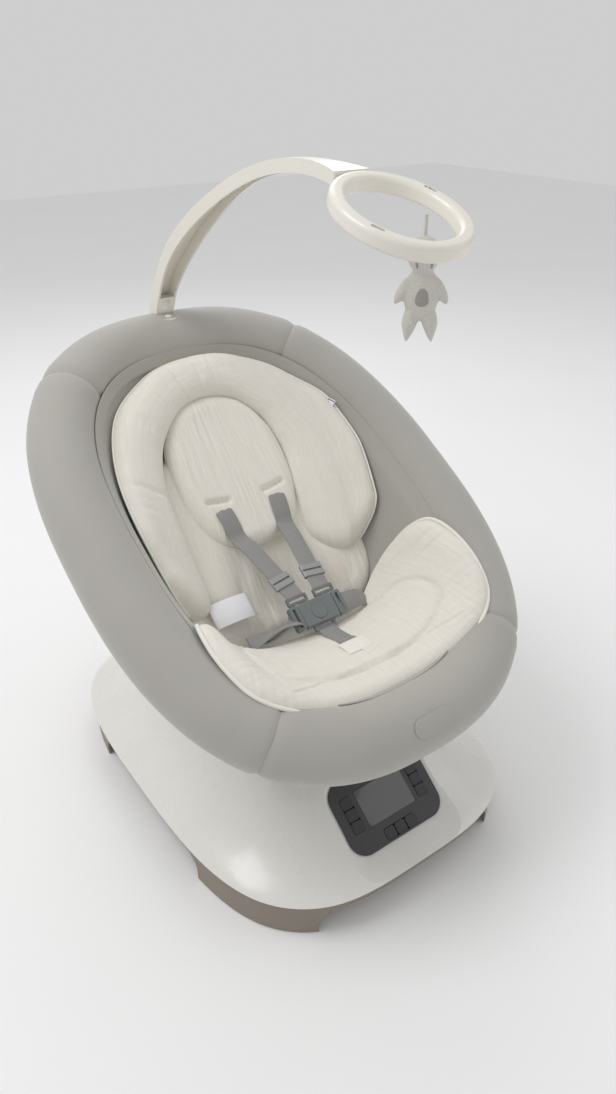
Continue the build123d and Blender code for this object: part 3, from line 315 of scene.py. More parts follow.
def moulded_plastic(name, dark, light, roughness, grain_mm, coat=0.0, strength=0.12):
    """Injection moulded plastic: an even tone, a fine spark-eroded grain and uneven gloss."""
    material, tree = start_material(name)
    place = add_node(tree, "ShaderNodeTexCoord").outputs["Object"]
    cloud = add_node(tree, "ShaderNodeTexNoise", {"Vector": place, "Scale": 14.0,
                                                  "Detail": 3.0}).outputs[0]
    grain = add_node(tree, "ShaderNodeTexNoise", {"Vector": place, "Scale": 1 / (grain_mm * MM),
                                                  "Detail": 2.0}).outputs[0]
    close_material(tree, two_tones(tree, cloud, dark, light),
                   roughness_band(tree, cloud, roughness - 0.05, roughness + 0.06),
                   bump(tree, grain, strength, 0.15), Coat_Weight=coat, Coat_Roughness=0.12,
                   IOR=1.5)
    return material


def metal(name, tone, roughness, brushed=(1.0, 1.0, 1.0)):
    """Bare metal with fine marks from drawing or turning."""
    material, tree = start_material(name)
    place = add_node(tree, "ShaderNodeTexCoord").outputs["Object"]
    marks = add_node(tree, "ShaderNodeTexNoise",
                     {"Vector": scaled(tree, place, brushed), "Scale": 900.0,
                      "Detail": 4.0}).outputs[0]
    close_material(tree, two_tones(tree, marks, tone[0], tone[1]),
                   roughness_band(tree, marks, roughness - 0.08, roughness + 0.1),
                   bump(tree, marks, 0.15, 0.05), Metallic=1.0)
    return material


def bonded_jersey():
    """Smooth knitted jersey bonded to foam: fine knit, soft sheen, slight drift in tone."""
    material, tree = start_material("bonded_jersey_over_foam")
    place = add_node(tree, "ShaderNodeTexCoord").outputs["Object"]
    cloud = add_node(tree, "ShaderNodeTexNoise", {"Vector": place, "Scale": 9.0,
                                                  "Detail": 4.0}).outputs[0]
    # 0.9 mm stitches, drawn at 1.4 mm so that they show
    knit = add_node(tree, "ShaderNodeTexVoronoi",
                    {"Vector": scaled(tree, place, (1.0, 1.0, 0.7)),
                     "Scale": 1 / (1.4 * MM)}).outputs["Distance"]
    fuzz = add_node(tree, "ShaderNodeTexNoise", {"Vector": place, "Scale": 1 / (3.0 * MM),
                                                 "Detail": 4.0}).outputs[0]
    height = add_node(tree, "ShaderNodeMath", {0: knit, 1: fuzz}, operation="ADD").outputs[0]
    close_material(tree, two_tones(tree, cloud, "#a5a29c", "#b1aea8"),
                   roughness_band(tree, fuzz, 0.62, 0.78), bump(tree, height, 0.16, 0.25),
                   Sheen_Weight=0.35, Sheen_Roughness=0.45, IOR=1.45)
    return material


def crinkled_muslin(name, dark, light):
    """Double cotton muslin: threads, and creases that run along the second UV axis, with painted
    shade in their hollows and painted light on their ridges.
    """
    material, tree = start_material(name)
    flat = add_node(tree, "ShaderNodeTexCoord").outputs["UV"]
    creases = add_node(tree, "ShaderNodeTexNoise",
                       {"Vector": scaled(tree, flat, (0.30, 0.022, 1.0)), "Scale": 1.0,
                        "Detail": 5.0, "Roughness": 0.62}).outputs[0]
    fine = add_node(tree, "ShaderNodeTexNoise",
                    {"Vector": scaled(tree, flat, (0.9, 0.09, 1.0)), "Scale": 1.0,
                     "Detail": 3.0}).outputs[0]
    # 0.6 mm threads, drawn at 1.1 mm so that they show
    warp = add_node(tree, "ShaderNodeTexWave", {"Vector": flat, "Scale": 0.29,
                                                "Distortion": 1.2}, bands_direction="X").outputs[1]
    weft = add_node(tree, "ShaderNodeTexWave", {"Vector": flat, "Scale": 0.29,
                                                "Distortion": 1.2}, bands_direction="Y").outputs[1]
    threads = add_node(tree, "ShaderNodeMath", {0: warp, 1: weft}, operation="MULTIPLY").outputs[0]
    height = add_node(tree, "ShaderNodeMath", {0: creases, 1: fine}, operation="ADD").outputs[0]
    folds = bump(tree, height, 0.55, 1.1)
    surface = add_node(tree, "ShaderNodeBump", {"Height": threads, "Strength": 0.22,
                                                "Distance": 0.2 * MM, "Normal": folds}).outputs[0]
    # the colour follows the crease height: painted shade in the hollows, painted light on the
    # ridges
    close_material(tree, two_tones(tree, creases, dark, light),
                   roughness_band(tree, fine, 0.82, 0.95), surface,
                   Sheen_Weight=0.25, Sheen_Roughness=0.6, IOR=1.45)
    return material


def woven_webbing():
    """Polyester seat-belt webbing: a flat herringbone weave with a firm edge."""
    material, tree = start_material("polyester_webbing")
    flat = add_node(tree, "ShaderNodeTexCoord").outputs["UV"]
    twill = add_node(tree, "ShaderNodeTexWave", {"Vector": scaled(tree, flat, (1.0, 1.6, 1.0)),
                                                 "Scale": 0.23, "Distortion": 0.4},
                     bands_direction="DIAGONAL").outputs[1]
    ribs = add_node(tree, "ShaderNodeTexWave", {"Vector": flat, "Scale": 0.27},
                    bands_direction="Y").outputs[1]
    weave = add_node(tree, "ShaderNodeMath", {0: twill, 1: ribs}, operation="MULTIPLY").outputs[0]
    close_material(tree, two_tones(tree, weave, "#868583", "#a09f9d"),
                   roughness_band(tree, weave, 0.5, 0.68), bump(tree, weave, 0.35, 0.25),
                   Sheen_Weight=0.15, Sheen_Roughness=0.4, IOR=1.5)
    return material


def linen():
    """Slubby linen and cotton plush cloth."""
    material, tree = start_material("slub_linen")
    place = add_node(tree, "ShaderNodeTexCoord").outputs["Object"]
    across = add_node(tree, "ShaderNodeTexNoise",
                      {"Vector": scaled(tree, place, (1600.0, 1600.0, 160.0)), "Scale": 1.0,
                       "Detail": 2.0}).outputs[0]
    up = add_node(tree, "ShaderNodeTexNoise",
                  {"Vector": scaled(tree, place, (160.0, 160.0, 1600.0)), "Scale": 1.0,
                   "Detail": 2.0}).outputs[0]
    weave = add_node(tree, "ShaderNodeMath", {0: across, 1: up}, operation="MULTIPLY").outputs[0]
    close_material(tree, two_tones(tree, weave, "#bdbab3", "#f0ede7"),
                   roughness_band(tree, weave, 0.8, 0.95), bump(tree, weave, 0.6, 0.5),
                   Sheen_Weight=0.3, Sheen_Roughness=0.5, IOR=1.45)
    return material


def display_glass():
    """Black-tinted acrylic lens over the display: dark and glossy, with a slight drift in tone."""
    material, tree = start_material("tinted_acrylic_lens")
    place = add_node(tree, "ShaderNodeTexCoord").outputs["Object"]
    haze = add_node(tree, "ShaderNodeTexNoise", {"Vector": place, "Scale": 30.0}).outputs[0]
    close_material(tree, two_tones(tree, haze, "#1c1d1f", "#26282b"),
                   roughness_band(tree, haze, 0.05, 0.12), Coat_Weight=1.0,
                   Coat_Roughness=0.03, IOR=1.49)
    return material


JERSEY = bonded_jersey()
MUSLIN = crinkled_muslin("crinkled_cotton_muslin", "#dad5ca", "#efebe2")
MUSLIN_EDGE = crinkled_muslin("muslin_piping", "#e3ded5", "#f4f1ea")
WEBBING = woven_webbing()
LINEN = linen()
SHELL = moulded_plastic("glossy_abs_shell", "#dddcd7", "#e4e3de", 0.27, 0.8, coat=0.35,
                        strength=0.03)
TRAY = moulded_plastic("taupe_polypropylene", "#857b70", "#8f857a", 0.48, 0.9)
CHARCOAL = moulded_plastic("charcoal_abs_faceplate", "#343436", "#3b3b3e", 0.36, 0.7)
KEYS = moulded_plastic("charcoal_silicone_keys", "#2b2b2e", "#323235", 0.42, 0.6)
BLACK = moulded_plastic("black_nylon", "#1b1b1c", "#232324", 0.5, 0.8)
ACETAL = moulded_plastic("natural_acetal_gears", "#dedbd0", "#e6e3d9", 0.4, 1.0)
BUCKLE = moulded_plastic("slate_acetal_buckle", "#6b7071", "#747979", 0.34, 0.7, coat=0.15)
ADJUSTER = moulded_plastic("grey_acetal_adjuster", "#8f908f", "#9b9c9a", 0.3, 0.7, coat=0.25)
CREAM = moulded_plastic("cream_abs_mobile", "#e4e0d5", "#ece8de", 0.3, 0.8, coat=0.3,
                        strength=0.04)
SHELL_SEAT = moulded_plastic("grey_polypropylene_seat_shell", "#bdbbb6", "#c6c4bf", 0.5, 1.1)
RUBBER = moulded_plastic("soft_rubber", "#262626", "#303030", 0.75, 0.9, strength=0.3)
BOARD = moulded_plastic("solder_masked_board", "#12402a", "#185236", 0.4, 1.4)
LEGEND = moulded_plastic("white_pad_print", "#d9d9d9", "#ececec", 0.6, 0.5)
LABEL = moulded_plastic("woven_satin_label", "#e2e2e4", "#f0f0f2", 0.6, 0.5, strength=0.25)
NAVY = moulded_plastic("navy_label_yarn", "#2a3350", "#354064", 0.7, 0.5, strength=0.25)
THREAD = moulded_plastic("grey_polyester_thread", "#8e8b85", "#a3a099", 0.6, 0.4, strength=0.3)
STEEL = metal("zinc_plated_steel", ("#8f9194", "#a9abad"), 0.34, (1.0, 1.0, 0.1))
POWDER = moulded_plastic("powder_coated_tube", "#5d5d5f", "#6a6a6c", 0.45, 1.2, strength=0.25)
ALLOY = metal("die_cast_alloy", ("#9a9c9e", "#b0b2b4"), 0.42)
BRONZE = metal("sintered_bronze", ("#8d6b3d", "#a9834e"), 0.45)
LENS = display_glass()

NODE_MATERIALS = {
    "shell_gloss": SHELL, "tray_plastic": TRAY, "rubber": RUBBER, "steel": STEEL,
    "charcoal": CHARCOAL, "lens": LENS, "board": BOARD,
    "button_plastic": KEYS, "black_plastic": BLACK, "motor_steel": STEEL,
    "gear_plastic": ACETAL, "bronze": BRONZE, "alloy": ALLOY, "tube_steel": POWDER,
    "seat_plastic": SHELL_SEAT, "rim_fabric": JERSEY, "patch_fabric": JERSEY,
    "pad_cotton": MUSLIN, "webbing": WEBBING, "adjuster_plastic": ADJUSTER,
    "buckle_plastic": BUCKLE, "label": LABEL, "mobile_plastic": CREAM, "toy_fabric": LINEN,
}
for entry in frame["record"]["subparts"]:
    cad = frame["nodes"][entry["node"]]
    cad.data.materials.clear()
    cad.data.materials.append(NODE_MATERIALS[entry["material_slot"]])
    for polygon in cad.data.polygons:
        polygon.material_index = 0


def dress(piece, body, slot, *nodes):
    """A piece rides on a body and stands for CAD nodes; its slot is not used."""
    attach(piece, body)
    if nodes:
        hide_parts(*nodes)
    return piece


# ---------------------------------------------------------------- padded rim
SEAM_DEPTH = 2.6              # how far the padding is pulled in at a seam
SEAM_REACH = 5.0


def rim_frame(angle):
    """Centre of the rim and its outward direction in the rim's plane, in the seat's mm."""
    x, y = squircle(RIM_HALF_WIDTH, RIM_HALF_LENGTH, RIM_EXPONENT, angle)
    x1, y1 = squircle(RIM_HALF_WIDTH, RIM_HALF_LENGTH, RIM_EXPONENT, angle + 0.3)
    x0, y0 = squircle(RIM_HALF_WIDTH, RIM_HALF_LENGTH, RIM_EXPONENT, angle - 0.3)
    length = math.hypot(x1 - x0, y1 - y0)
    return x, y, (y1 - y0) / length, -(x1 - x0) / length


def rim_surface(angle, around, radius):
    """Point of the padded rim: around is 0 outside, 90 on top and 180 inside."""
    x, y, ox, oy = rim_frame(angle)
    out = radius * math.cos(math.radians(around))
    return seat(x + ox * out, y + oy * out, radius * math.sin(math.radians(around)))




def rim_panel(name, node, start, end):
    """One sewn panel of the padded rim, pulled in at its two seams."""
    x0, y0, _, _ = rim_frame(start)
    stretch = 0.0
    for k in range(24):
        x1, y1, _, _ = rim_frame(mix(start, end, (k + 1) / 24))
        stretch += math.hypot(x1 - x0, y1 - y0)
        x0, y0 = x1, y1
    columns = [0, 0.4, 1.0, 2.0, 3.4, 5.2, 8.0]
    middle = [8.0 + (stretch - 16.0) * k / 46 for k in range(1, 46)]
    stations = columns + middle + [stretch - c for c in reversed(columns)]
    rows, uvs = [], []
    sides = 56
    for distance in stations:
        angle = mix(start, end, distance / stretch)
        near = min(distance, stretch - distance)
        pull = SEAM_DEPTH * math.exp(-(near / SEAM_REACH) ** 1.2)
        swell = 0.9 * math.exp(-((near - 13.0) / 9.0) ** 2)
        row, uv = [], []
        for k in range(sides):
            around = 360.0 * k / sides
            drift = noise.noise(Vector((angle / 16, around / 45, 4.0)))
            row.append(rim_surface(angle, around, RIM_RADIUS - pull + swell + 0.5 * drift))
            uv.append((around / 360 * 274, distance))
        rows.append(row)
        uvs.append(uv)
    bm = bmesh.new()
    verts = grid_faces(bm, rows, wrap_columns=True, uvs=uvs)
    bm.faces.new(verts[0])
    bm.faces.new(verts[-1][::-1])
    piece = new_object(name, bm, JERSEY)
    dress(piece, "seat", "rim_fabric", node)
    return piece


rim_panel("rim_panel_front", "rim_cover_front", -90 - FRONT_SEAM, -90 + FRONT_SEAM)
rim_panel("rim_panel_right", "rim_cover_right", -90 + FRONT_SEAM, 90 - HEAD_SEAM)
rim_panel("rim_panel_head", "rim_cover_head", 90 - HEAD_SEAM, 90 + HEAD_SEAM)
rim_panel("rim_panel_left", "rim_cover_left", 90 + HEAD_SEAM, 270 - FRONT_SEAM)


# ---------------------------------------------------------------- fabric inside the bucket
LINING_LIP = [(22.0, 203.0, -285.0, 285.0), (10.0, 195.0, -275.0, 275.0)]


def lining():
    """Jersey that runs from the rim down over the bowl, under the cotton pads."""
    levels = LINING_LIP + LYING
    halves = arc_points([Vector((w, a, 0)) for w, a, _, _ in levels], 8)
    spans = arc_points([Vector((w, low, high)) for w, _, low, high in levels], 8)
    rows = []
    for (w, half, _), (_, low, high) in zip(halves, spans):
        row = []
        for k in range(120):
            x, y = squircle(half, (high - low) / 2, RIM_EXPONENT, 360 * k / 120)
            row.append(seat(x, y + (high + low) / 2, w))
        rows.append(row)
    w, half, low, high = LYING[-1]
    for share in (0.7, 0.35):
        rows.append([seat(*[share * c for c in squircle(half, (high - low) / 2, RIM_EXPONENT,
                                                       360 * k / 120)], 0)
                     + seat(0, (high + low) / 2, w - 2.0) - seat(0, 0, 0) for k in range(120)])
    bm = bmesh.new()
    verts = grid_faces(bm, rows, wrap_columns=True)
    bm.faces.new(verts[-1])
    piece = new_object("bucket_lining", bm, JERSEY)
    thicken = piece.modifiers.new("cloth", "SOLIDIFY")
    thicken.thickness = 1.6 * MM
    thicken.offset = -1.0
    apply_modifiers(piece)
    return dress(piece, "seat", "rim_fabric", "seat_liner")


def apply_modifiers(piece):
    """Bakes an object's modifiers into its mesh."""
    depsgraph = bpy.context.evaluated_depsgraph_get()
    baked = bpy.data.meshes.new_from_object(piece.evaluated_get(depsgraph))
    piece.modifiers.clear()
    piece.data = baked


lining()


# ---------------------------------------------------------------- crinkled cotton pads
def closed_curve(points, count):
    """Smooth closed outline through a few (u, v) points, evenly spaced."""
    ring = [Vector((u, v, 0)) for u, v in points]
    size = len(ring)
    fine = []
    for i in range(size):
        p0, p1, p2, p3 = (ring[(i + k - 1) % size] for k in range(4))
        for k in range(40):
            t = k / 40
            fine.append(0.5 * (2 * p1 + (p2 - p0) * t + (2 * p0 - 5 * p1 + 4 * p2 - p3) * t ** 2
                               + (3 * p1 - p0 - 3 * p2 + p3) * t ** 3))
    runs = [0.0]
    for a, b in zip(fine, fine[1:] + fine[:1]):
        runs.append(runs[-1] + (b - a).length)
    out, i = [], 0
    for k in range(count):
        want = runs[-1] * k / count
        while runs[i + 1] < want:
            i += 1
        share = (want - runs[i]) / max(1e-9, runs[i + 1] - runs[i])
        p = fine[i].lerp(fine[(i + 1) % len(fine)], share)
        out.append((p.x, p.y))
    return out, runs[-1]


def edge_profile(distance, radius):
    """Share of full height a stuffed edge has reached at a distance from its seam."""
    if distance >= radius:
        return 1.0
    return math.sqrt(max(0.0, 1 - (1 - distance / radius) ** 2))


def pad(name, node, outline, centre, height, edge_radius, base=1.0, rings=64, around=420,
        seam_pull=0.0):
    """Closed stuffed pad on the bowl, star-shaped about its centre.

    height(u, v) gives the pad's own thickness and base how far its underside stands off.
    """
    edge, _ = closed_curve(outline, around)
    rows, under, uvs = [], [], []
    for i in range(rings + 1):
        share = math.sin(math.pi / 2 * i / rings)
        row, low, uv = [], [], []
        for k, (eu, ev) in enumerate(edge):
            u = mix(centre[0], eu, share)
            v = mix(centre[1], ev, share)
            reach = math.hypot(eu - centre[0], ev - centre[1])
            before, after = edge[k - 2], edge[(k + 2) % around]
            tangent = Vector((after[0] - before[0], after[1] - before[1], 0)).normalized()
            ray = Vector((eu - centre[0], ev - centre[1], 0)) / reach
            square = abs(ray.x * tangent.y - ray.y * tangent.x)
            away = reach * (1 - share) * square
            rise = edge_profile(away, edge_radius)
            thick = height(u, v) * rise
            row.append(on_bowl(u, v, base + max(0.15, thick) + seam_pull * (1 - rise)))
            low.append(on_bowl(u, v, base))
            uv.append((u, v))
        rows.append(row)
        under.append(low)
        uvs.append(uv)
    bm = bmesh.new()
    grid_faces(bm, rows, wrap_columns=True, uvs=uvs)
    grid_faces(bm, under, wrap_columns=True, uvs=uvs)
    rim_rows = [rows[-1], under[-1]]
    grid_faces(bm, rim_rows, wrap_columns=True, uvs=[uvs[-1], uvs[-1]])
    bmesh.ops.remove_doubles(bm, verts=bm.verts, dist=0.00004)
    piece = new_object(name, bm, MUSLIN)
    names = (node,) if node else ()
    return dress(piece, "seat", "pad_cotton", *names), rows[-1]


def creases(u, v, seed, turn=0.0, spacing=9.0, length=110.0):
    """Muslin creases that run at an angle, in degrees from the seat's length."""
    c, s = math.cos(math.radians(turn)), math.sin(math.radians(turn))
    return crinkle(u * c - v * s, u * s + v * c, seed, spacing, length)


def dent(x, width):
    return math.exp(-(x / width) ** 2)


# ---- body pad under the harness: two soft lobes beside a valley, tucked into the crease
BODY_OUTLINE = [(0, -112), (62, -122), (118, -112), (146, -70), (150, 10), (140, 90), (80, 150),
                (0, 165), (-80, 150), (-140, 90), (-150, 10), (-150, -70), (-122, -112),
                (-62, -124)]


def body_height(u, v):
    lobes = 13.0 * dent(abs(u) - 88, 40) * dent(v + 62, 62)
    valley = -6.0 * dent(u, 20) * dent(v + 50, 75)
    folds = 3.2 * dent(u - 52 + 0.35 * (v + 60), 11) * dent(v + 40, 48) \
        + 2.8 * dent(u + 60 - 0.30 * (v + 60), 12) * dent(v + 48, 52)
    return 11.0 + lobes + valley - folds + 1.5 * creases(u, v, 5.0, 4.0)


pad("body_pad_cushion", "back_pad", BODY_OUTLINE, (0, 10), body_height, 17.0, base=0.6)

# ---- horseshoe bolster: its middle line, its half widths and its stuffing
BOLSTER_SPINE = [(-140, -72), (-146, -20), (-150, 40), (-144, 110), (-112, 184), (-56, 232),
                 (0, 246), (58, 236), (108, 196), (134, 134), (134, 60), (126, -2), (118, -46)]
BOLSTER_HALF = [20, 34, 37, 34, 34, 31, 30, 32, 38, 46, 53, 54, 36]
BOLSTER_STEPS = 360


def curve_through(values, share):
    """Value at a share of the way along a row of evenly placed values, smoothed."""
    x = share * (len(values) - 1)
    i = min(int(x), len(values) - 2)
    return mix(values[i], values[i + 1], smooth(x - i))


def bolster_station(share):
    """Middle point, side direction and half width of the bolster."""
    last = len(bolster_line) - 1
    x = share * last
    i = min(int(x), last - 1)
    p = bolster_line[i].lerp(bolster_line[i + 1], x - i)
    ahead, behind = bolster_line[min(i + 6, last)], bolster_line[max(i - 5, 0)]
    along = (ahead - behind).normalized()
    return p, Vector((-along.y, along.x, 0)), curve_through(BOLSTER_HALF, share)


bolster_line = arc_points([Vector((u, v, 0)) for u, v in BOLSTER_SPINE], 24)
BOLSTER_RUN = sum((b - a).length for a, b in zip(bolster_line, bolster_line[1:]))


def bolster_end(share):
    """Share of full width and height near the rounded ends of the legs."""
    end = min(share, 1 - share) * BOLSTER_RUN
    return edge_profile(end, 48.0)


def bolster():
    """Stuffed horseshoe round the head, gathered across its band at the top."""
    sides = 72
    rows, uvs, cord, stitches = [], [], [], []
    for i in range(BOLSTER_STEPS + 1):
        share = i / BOLSTER_STEPS
        p, side, half = bolster_station(share)
        end = bolster_end(share)
        run = share * BOLSTER_RUN
        row, uv = [], []
        gathered = 0.35 + 1.5 * dent(share - 0.44, 0.13) + 0.8 * dent(share - 0.2, 0.04)
        for k in range(sides):
            a = 2 * math.pi * k / sides
            across, up = math.cos(a), math.sin(a)
            reach = half * end * math.copysign(abs(across) ** 0.85, across)
            gather = crinkle(run, across * 55, 2.0, spacing=11.0, length=95.0)
            fold = -2.8 * dent(run - 0.235 * BOLSTER_RUN, 4.5) - 2.2 * dent(
                run - 0.45 * BOLSTER_RUN, 3.5) - 1.8 * dent(run - 0.5 * BOLSTER_RUN, 3.5)
            if up > 0:
                height = 31.0 * end * up ** 0.72 + end * up ** 0.5 * (gathered * gather + fold)
            else:
                height = 4.5 * end * up
            q = p + side * reach
            row.append(on_bowl(q.x, q.y, height + 6.0))
            uv.append((across * half * 1.2, run))
        rows.append(row)
        uvs.append(uv)
        if 0.015 < share < 0.985:
            q = p + side * (half * end + 0.6)
            cord.append(on_bowl(q.x, q.y, 6.5))
            q = p - side * (half * end + 0.6)
            stitches.append(on_bowl(q.x, q.y, 6.5))
    bm = bmesh.new()
    verts = grid_faces(bm, rows, wrap_columns=True, uvs=uvs)
    bm.faces.new(verts[0])
    bm.faces.new(verts[-1][::-1])
    piece = new_object("head_bolster_cushion", bm, MUSLIN)
    dress(piece, "seat", "pad_cotton", "head_bolster")
    edge = bmesh.new()
    tube(edge, cord, 1.5 * MM, sides=8)
    tube(edge, stitches, 1.2 * MM, sides=8)
    dress(new_object("head_bolster_piping", edge, MUSLIN_EDGE), "seat", "pad_cotton")


bolster()

# ---- egg-shaped head pillow with a stitched slot for each shoulder strap
PILLOW_OUTLINE = [(0, 2), (34, 6), (66, 24), (84, 62), (90, 112), (82, 164), (52, 206), (0, 220),
                  (-52, 206), (-82, 164), (-90, 112), (-84, 62), (-66, 24), (-34, 6)]
SLOT_U, SLOT_V, SLOT_HALF = 45.0, 66.0, 16.0


def pillow_height(u, v):
    reach = smooth((SLOT_HALF + 7 - abs(abs(u) - SLOT_U)) / 8)
    slot = dent(v - SLOT_V - 0.12 * abs(u), 3.4) * reach
    below = dent(v - 34, 30) * dent(abs(u) - SLOT_U, 20)
    pulled = creases(u * (1 + 0.0022 * (v - SLOT_V)), v, 11.0, 0.0, 9.5, 130.0)
    return 19.0 - 6.0 * slot - 3.0 * below + 1.7 * pulled


pad("head_pillow_cushion", "head_pillow", PILLOW_OUTLINE, (0, 112), pillow_height, 22.0,
    base=8.0, around=360)

# ---- seat pad: a rounded front with a tall wing at each side and a stitched inner oval
SEAT_OUTLINE = [(0, -150), (58, -146), (104, -138), (140, -112), (168, -84), (188, -92),
                (195, -130), (193, -185), (176, -232), (136, -264), (70, -281), (0, -285),
                (-70, -281), (-136, -264), (-176, -232), (-193, -185), (-195, -140),
                (-184, -116), (-160, -118), (-120, -136), (-62, -146)]
OVAL_OUTLINE = [(0, -164), (70, -160), (128, -150), (150, -172), (140, -210), (90, -240), (0, -252),
                (-90, -240), (-140, -210), (-150, -172), (-128, -150), (-70, -160)]
oval_points, _ = closed_curve(OVAL_OUTLINE, 240)


def to_oval(u, v):
    """Distance to the stitched oval."""
    return min(math.hypot(u - x, v - y) for x, y in oval_points)


def seat_height(u, v):
    seam = to_oval(u, v)
    inside = abs(u) < 142 and -246 < v < -156
    crease = creases(u, v, 21.0, 76.0 if u > 0 else 104.0, 8.5, 100.0)
    return 15.0 - 4.6 * dent(seam, 3.0) + (1.5 if inside else 0.0) + 1.5 * crease


_, seat_edge = pad("seat_pad_cushion", "seat_pad", SEAT_OUTLINE, (0, -222), seat_height, 15.0,
                   base=0.8, rings=70, around=480)


def seat_piping():
    """Corded edge of the seat pad, with a few small gathers."""
    points = []
    for i, p in enumerate(seat_edge):
        tuck = 1.0 * max(0.0, noise.noise(Vector((i * 0.12, 3.0, 0))))
        points.append(p + SEAT_UP * (3.2 - tuck) * MM)
    cord = bmesh.new()
    tube(cord, points, 2.6 * MM, sides=10, closed=True)
    dress(new_object("seat_pad_piping", cord, MUSLIN_EDGE), "seat", "pad_cotton")


seat_piping()

# ---------------------------------------------------------------- harness
STRAP_WIDTH, STRAP_THICKNESS = 25.0 * MM, 1.5 * MM
BUCKLE_V, BUCKLE_W, BUCKLE_TILT = -134.0, -47.0, math.radians(10.0)
# each shoulder strap, from the slot behind the pillow to the buckle: u, v, w
SHOULDER_START, SHOULDER_END = (45.0, 66.0, -60.0), (21.0, -104.5, -41.8)
LEFT_TWIST, RIGHT_TWIST = 1.1, 0.25    # radians; the left waist strap lies half turned over
POCKET_WIDTH = 37.0 * MM


def buckle(x, y, z=0.0):
    """World place of a point of the buckle's own frame, in millimetres."""
    c, t = math.cos(BUCKLE_TILT), math.sin(BUCKLE_TILT)
    return seat(x, BUCKLE_V + y * c - z * t, BUCKLE_W + y * t + z * c)


def webbing(name, points, node=None, width=STRAP_WIDTH, material=WEBBING, twist=0.0):
    """Strap through a few points, lying flat, turned about its length by a twist."""
    centres = arc_points(points)
    sides = []
    for i, p in enumerate(centres):
        along = (centres[min(i + 1, len(centres) - 1)] - centres[max(i - 1, 0)]).normalized()
        side = along.cross(SEAT_UP).normalized()
        sides.append(Matrix.Rotation(twist * math.sin(math.pi * i / (len(centres) - 1)), 3, along)
                     @ side)
    bm = bmesh.new()
    ribbon(bm, centres, sides, width, STRAP_THICKNESS)
    names = (node,) if node else ()
    return dress(new_object(name, bm, material), "seat", "webbing", *names)


def on_strap(side, share):
    """Point of a shoulder strap's straight run, on which its adjuster slides."""
    u, v, w = (mix(a, b, share) for a, b in zip(SHOULDER_START, SHOULDER_END))
    return seat(side * u, v, w)


for side, hand in ((-1, "left"), (1, "right")):
    webbing(f"shoulder_webbing_{hand}",
            [on_bowl(side * 45.0, 67.0, 17.0), on_bowl(side * 43.5, 56.0, 27.0),
             on_bowl(side * 41.0, 36.0, 28.5), on_bowl(side * 38.5, 18.0, 27.0),
             on_strap(side, 0.46), on_strap(side, 0.6), on_strap(side, 0.8), on_strap(side, 1.02)],
            "shoulder_straps" if side < 0 else None)
    webbing(f"waist_webbing_{hand}",
            [buckle(side * 34.0, -1.0, 0.0), buckle(side * 44.0, -2.0, 1.0),
             seat(side * 70.0, -134.0, -58.0), seat(side * 96.0, -132.0, -78.0)],
            "lap_straps" if side < 0 else None, twist=LEFT_TWIST if side < 0 else RIGHT_TWIST)
webbing("crotch_webbing", [buckle(0, -21.0, -1.0), seat(0, -168.0, -47.0), seat(0, -188.0, -31.0),
                           on_bowl(0, -206.0, 18.5), on_bowl(0, -218.0, 18.0)])
webbing("crotch_pocket", [on_bowl(0, -209.0, 19.5), on_bowl(0, -217.0, 19.5),
                          on_bowl(0, -226.0, 18.0)], width=POCKET_WIDTH, material=MUSLIN_EDGE)


# ---------------------------------------------------------------- sewn labels, all blank
def label(name, centre, along, face, size, curl, node=None, material=LABEL, lift=0.0):
    """Woven label: a thin band that curls a little about its middle."""
    length, width = size
    along, face = Vector(along).normalized(), Vector(face).normalized()
    side = face.cross(along)
    steps = 10
    centres = [centre + along * length * (k / steps - 0.5)
               + face * (curl * math.sin(math.pi * k / steps) + lift) for k in range(steps + 1)]
    bm = bmesh.new()
    ribbon(bm, centres, [side] * len(centres), width, LABEL_THICKNESS)
    names = (node,) if node else ()
    return dress(new_object(name, bm, material), "seat", "label", *names)


LABEL_THICKNESS = 0.35 * MM
CARE_PLACE, TAG_PLACE = seat(-92, -78, -76), seat(171, 141, 8)
BORDER_OUT = 0.0068           # of the tag's coloured border lines from its middle
TAG_FACE, TAG_SIDE = Vector((-0.8, 0, 0.6)), Vector((-0.6, 0, -0.8))
label("care_label_woven", CARE_PLACE, (1, 0, 0), (0, -0.6, 0.8), (0.060, 0.034), 0.004,
      "sewn_labels")
label("side_tag_woven", TAG_PLACE, (0, 1, 0), TAG_FACE, (0.032, 0.018), 0.002)
for edge in (-1, 1):
    label(f"side_tag_border_{'inner' if edge < 0 else 'outer'}",
          TAG_PLACE + TAG_SIDE * edge * BORDER_OUT, (0, 1, 0), TAG_FACE, (0.030, 0.0011), 0.002,
          material=NAVY, lift=0.0005)

# ---------------------------------------------------------------- plush toy
toy_low, toy_high = (Vector(c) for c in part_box("toy"))
TOY_X, TOY_Y = (toy_low.x + toy_high.x) / 2, (toy_low.y + toy_high.y) / 2
RIBBON_DROP = 19.0 * MM
RIBBON_END = toy_high.z - RIBBON_DROP
TOY_VOXEL = 1.6 * MM
TOY_TURN = math.radians(-38.0)    # it faces the side the swing is seen from


def on_toy(x, y, z):
    """World place of a point of the toy, in millimetres below its ribbon, front towards -y."""
    c, t = math.cos(TOY_TURN), math.sin(TOY_TURN)
    return Vector((TOY_X + (x * c - y * t) * MM, TOY_Y + (x * t + y * c) * MM, RIBBON_END + z * MM))


def blob(bm, centre, radii, lean=0.0, point=0.0):
    """Ellipsoid; lean tips it sideways and point narrows its lower end."""
    made = bmesh.ops.create_uvsphere(bm, u_segments=24, v_segments=16, radius=1.0)["verts"]
    for vert in made:
        narrow = 1.0 - point * max(0.0, -vert.co.z)
        x, y, z = vert.co.x * radii[0] * narrow, vert.co.y * radii[1] * narrow, vert.co.z * radii[2]
        vert.co = on_toy(centre[0] + x * math.cos(lean) + z * math.sin(lean), centre[1] + y,
                         centre[2] + z * math.cos(lean) - x * math.sin(lean))


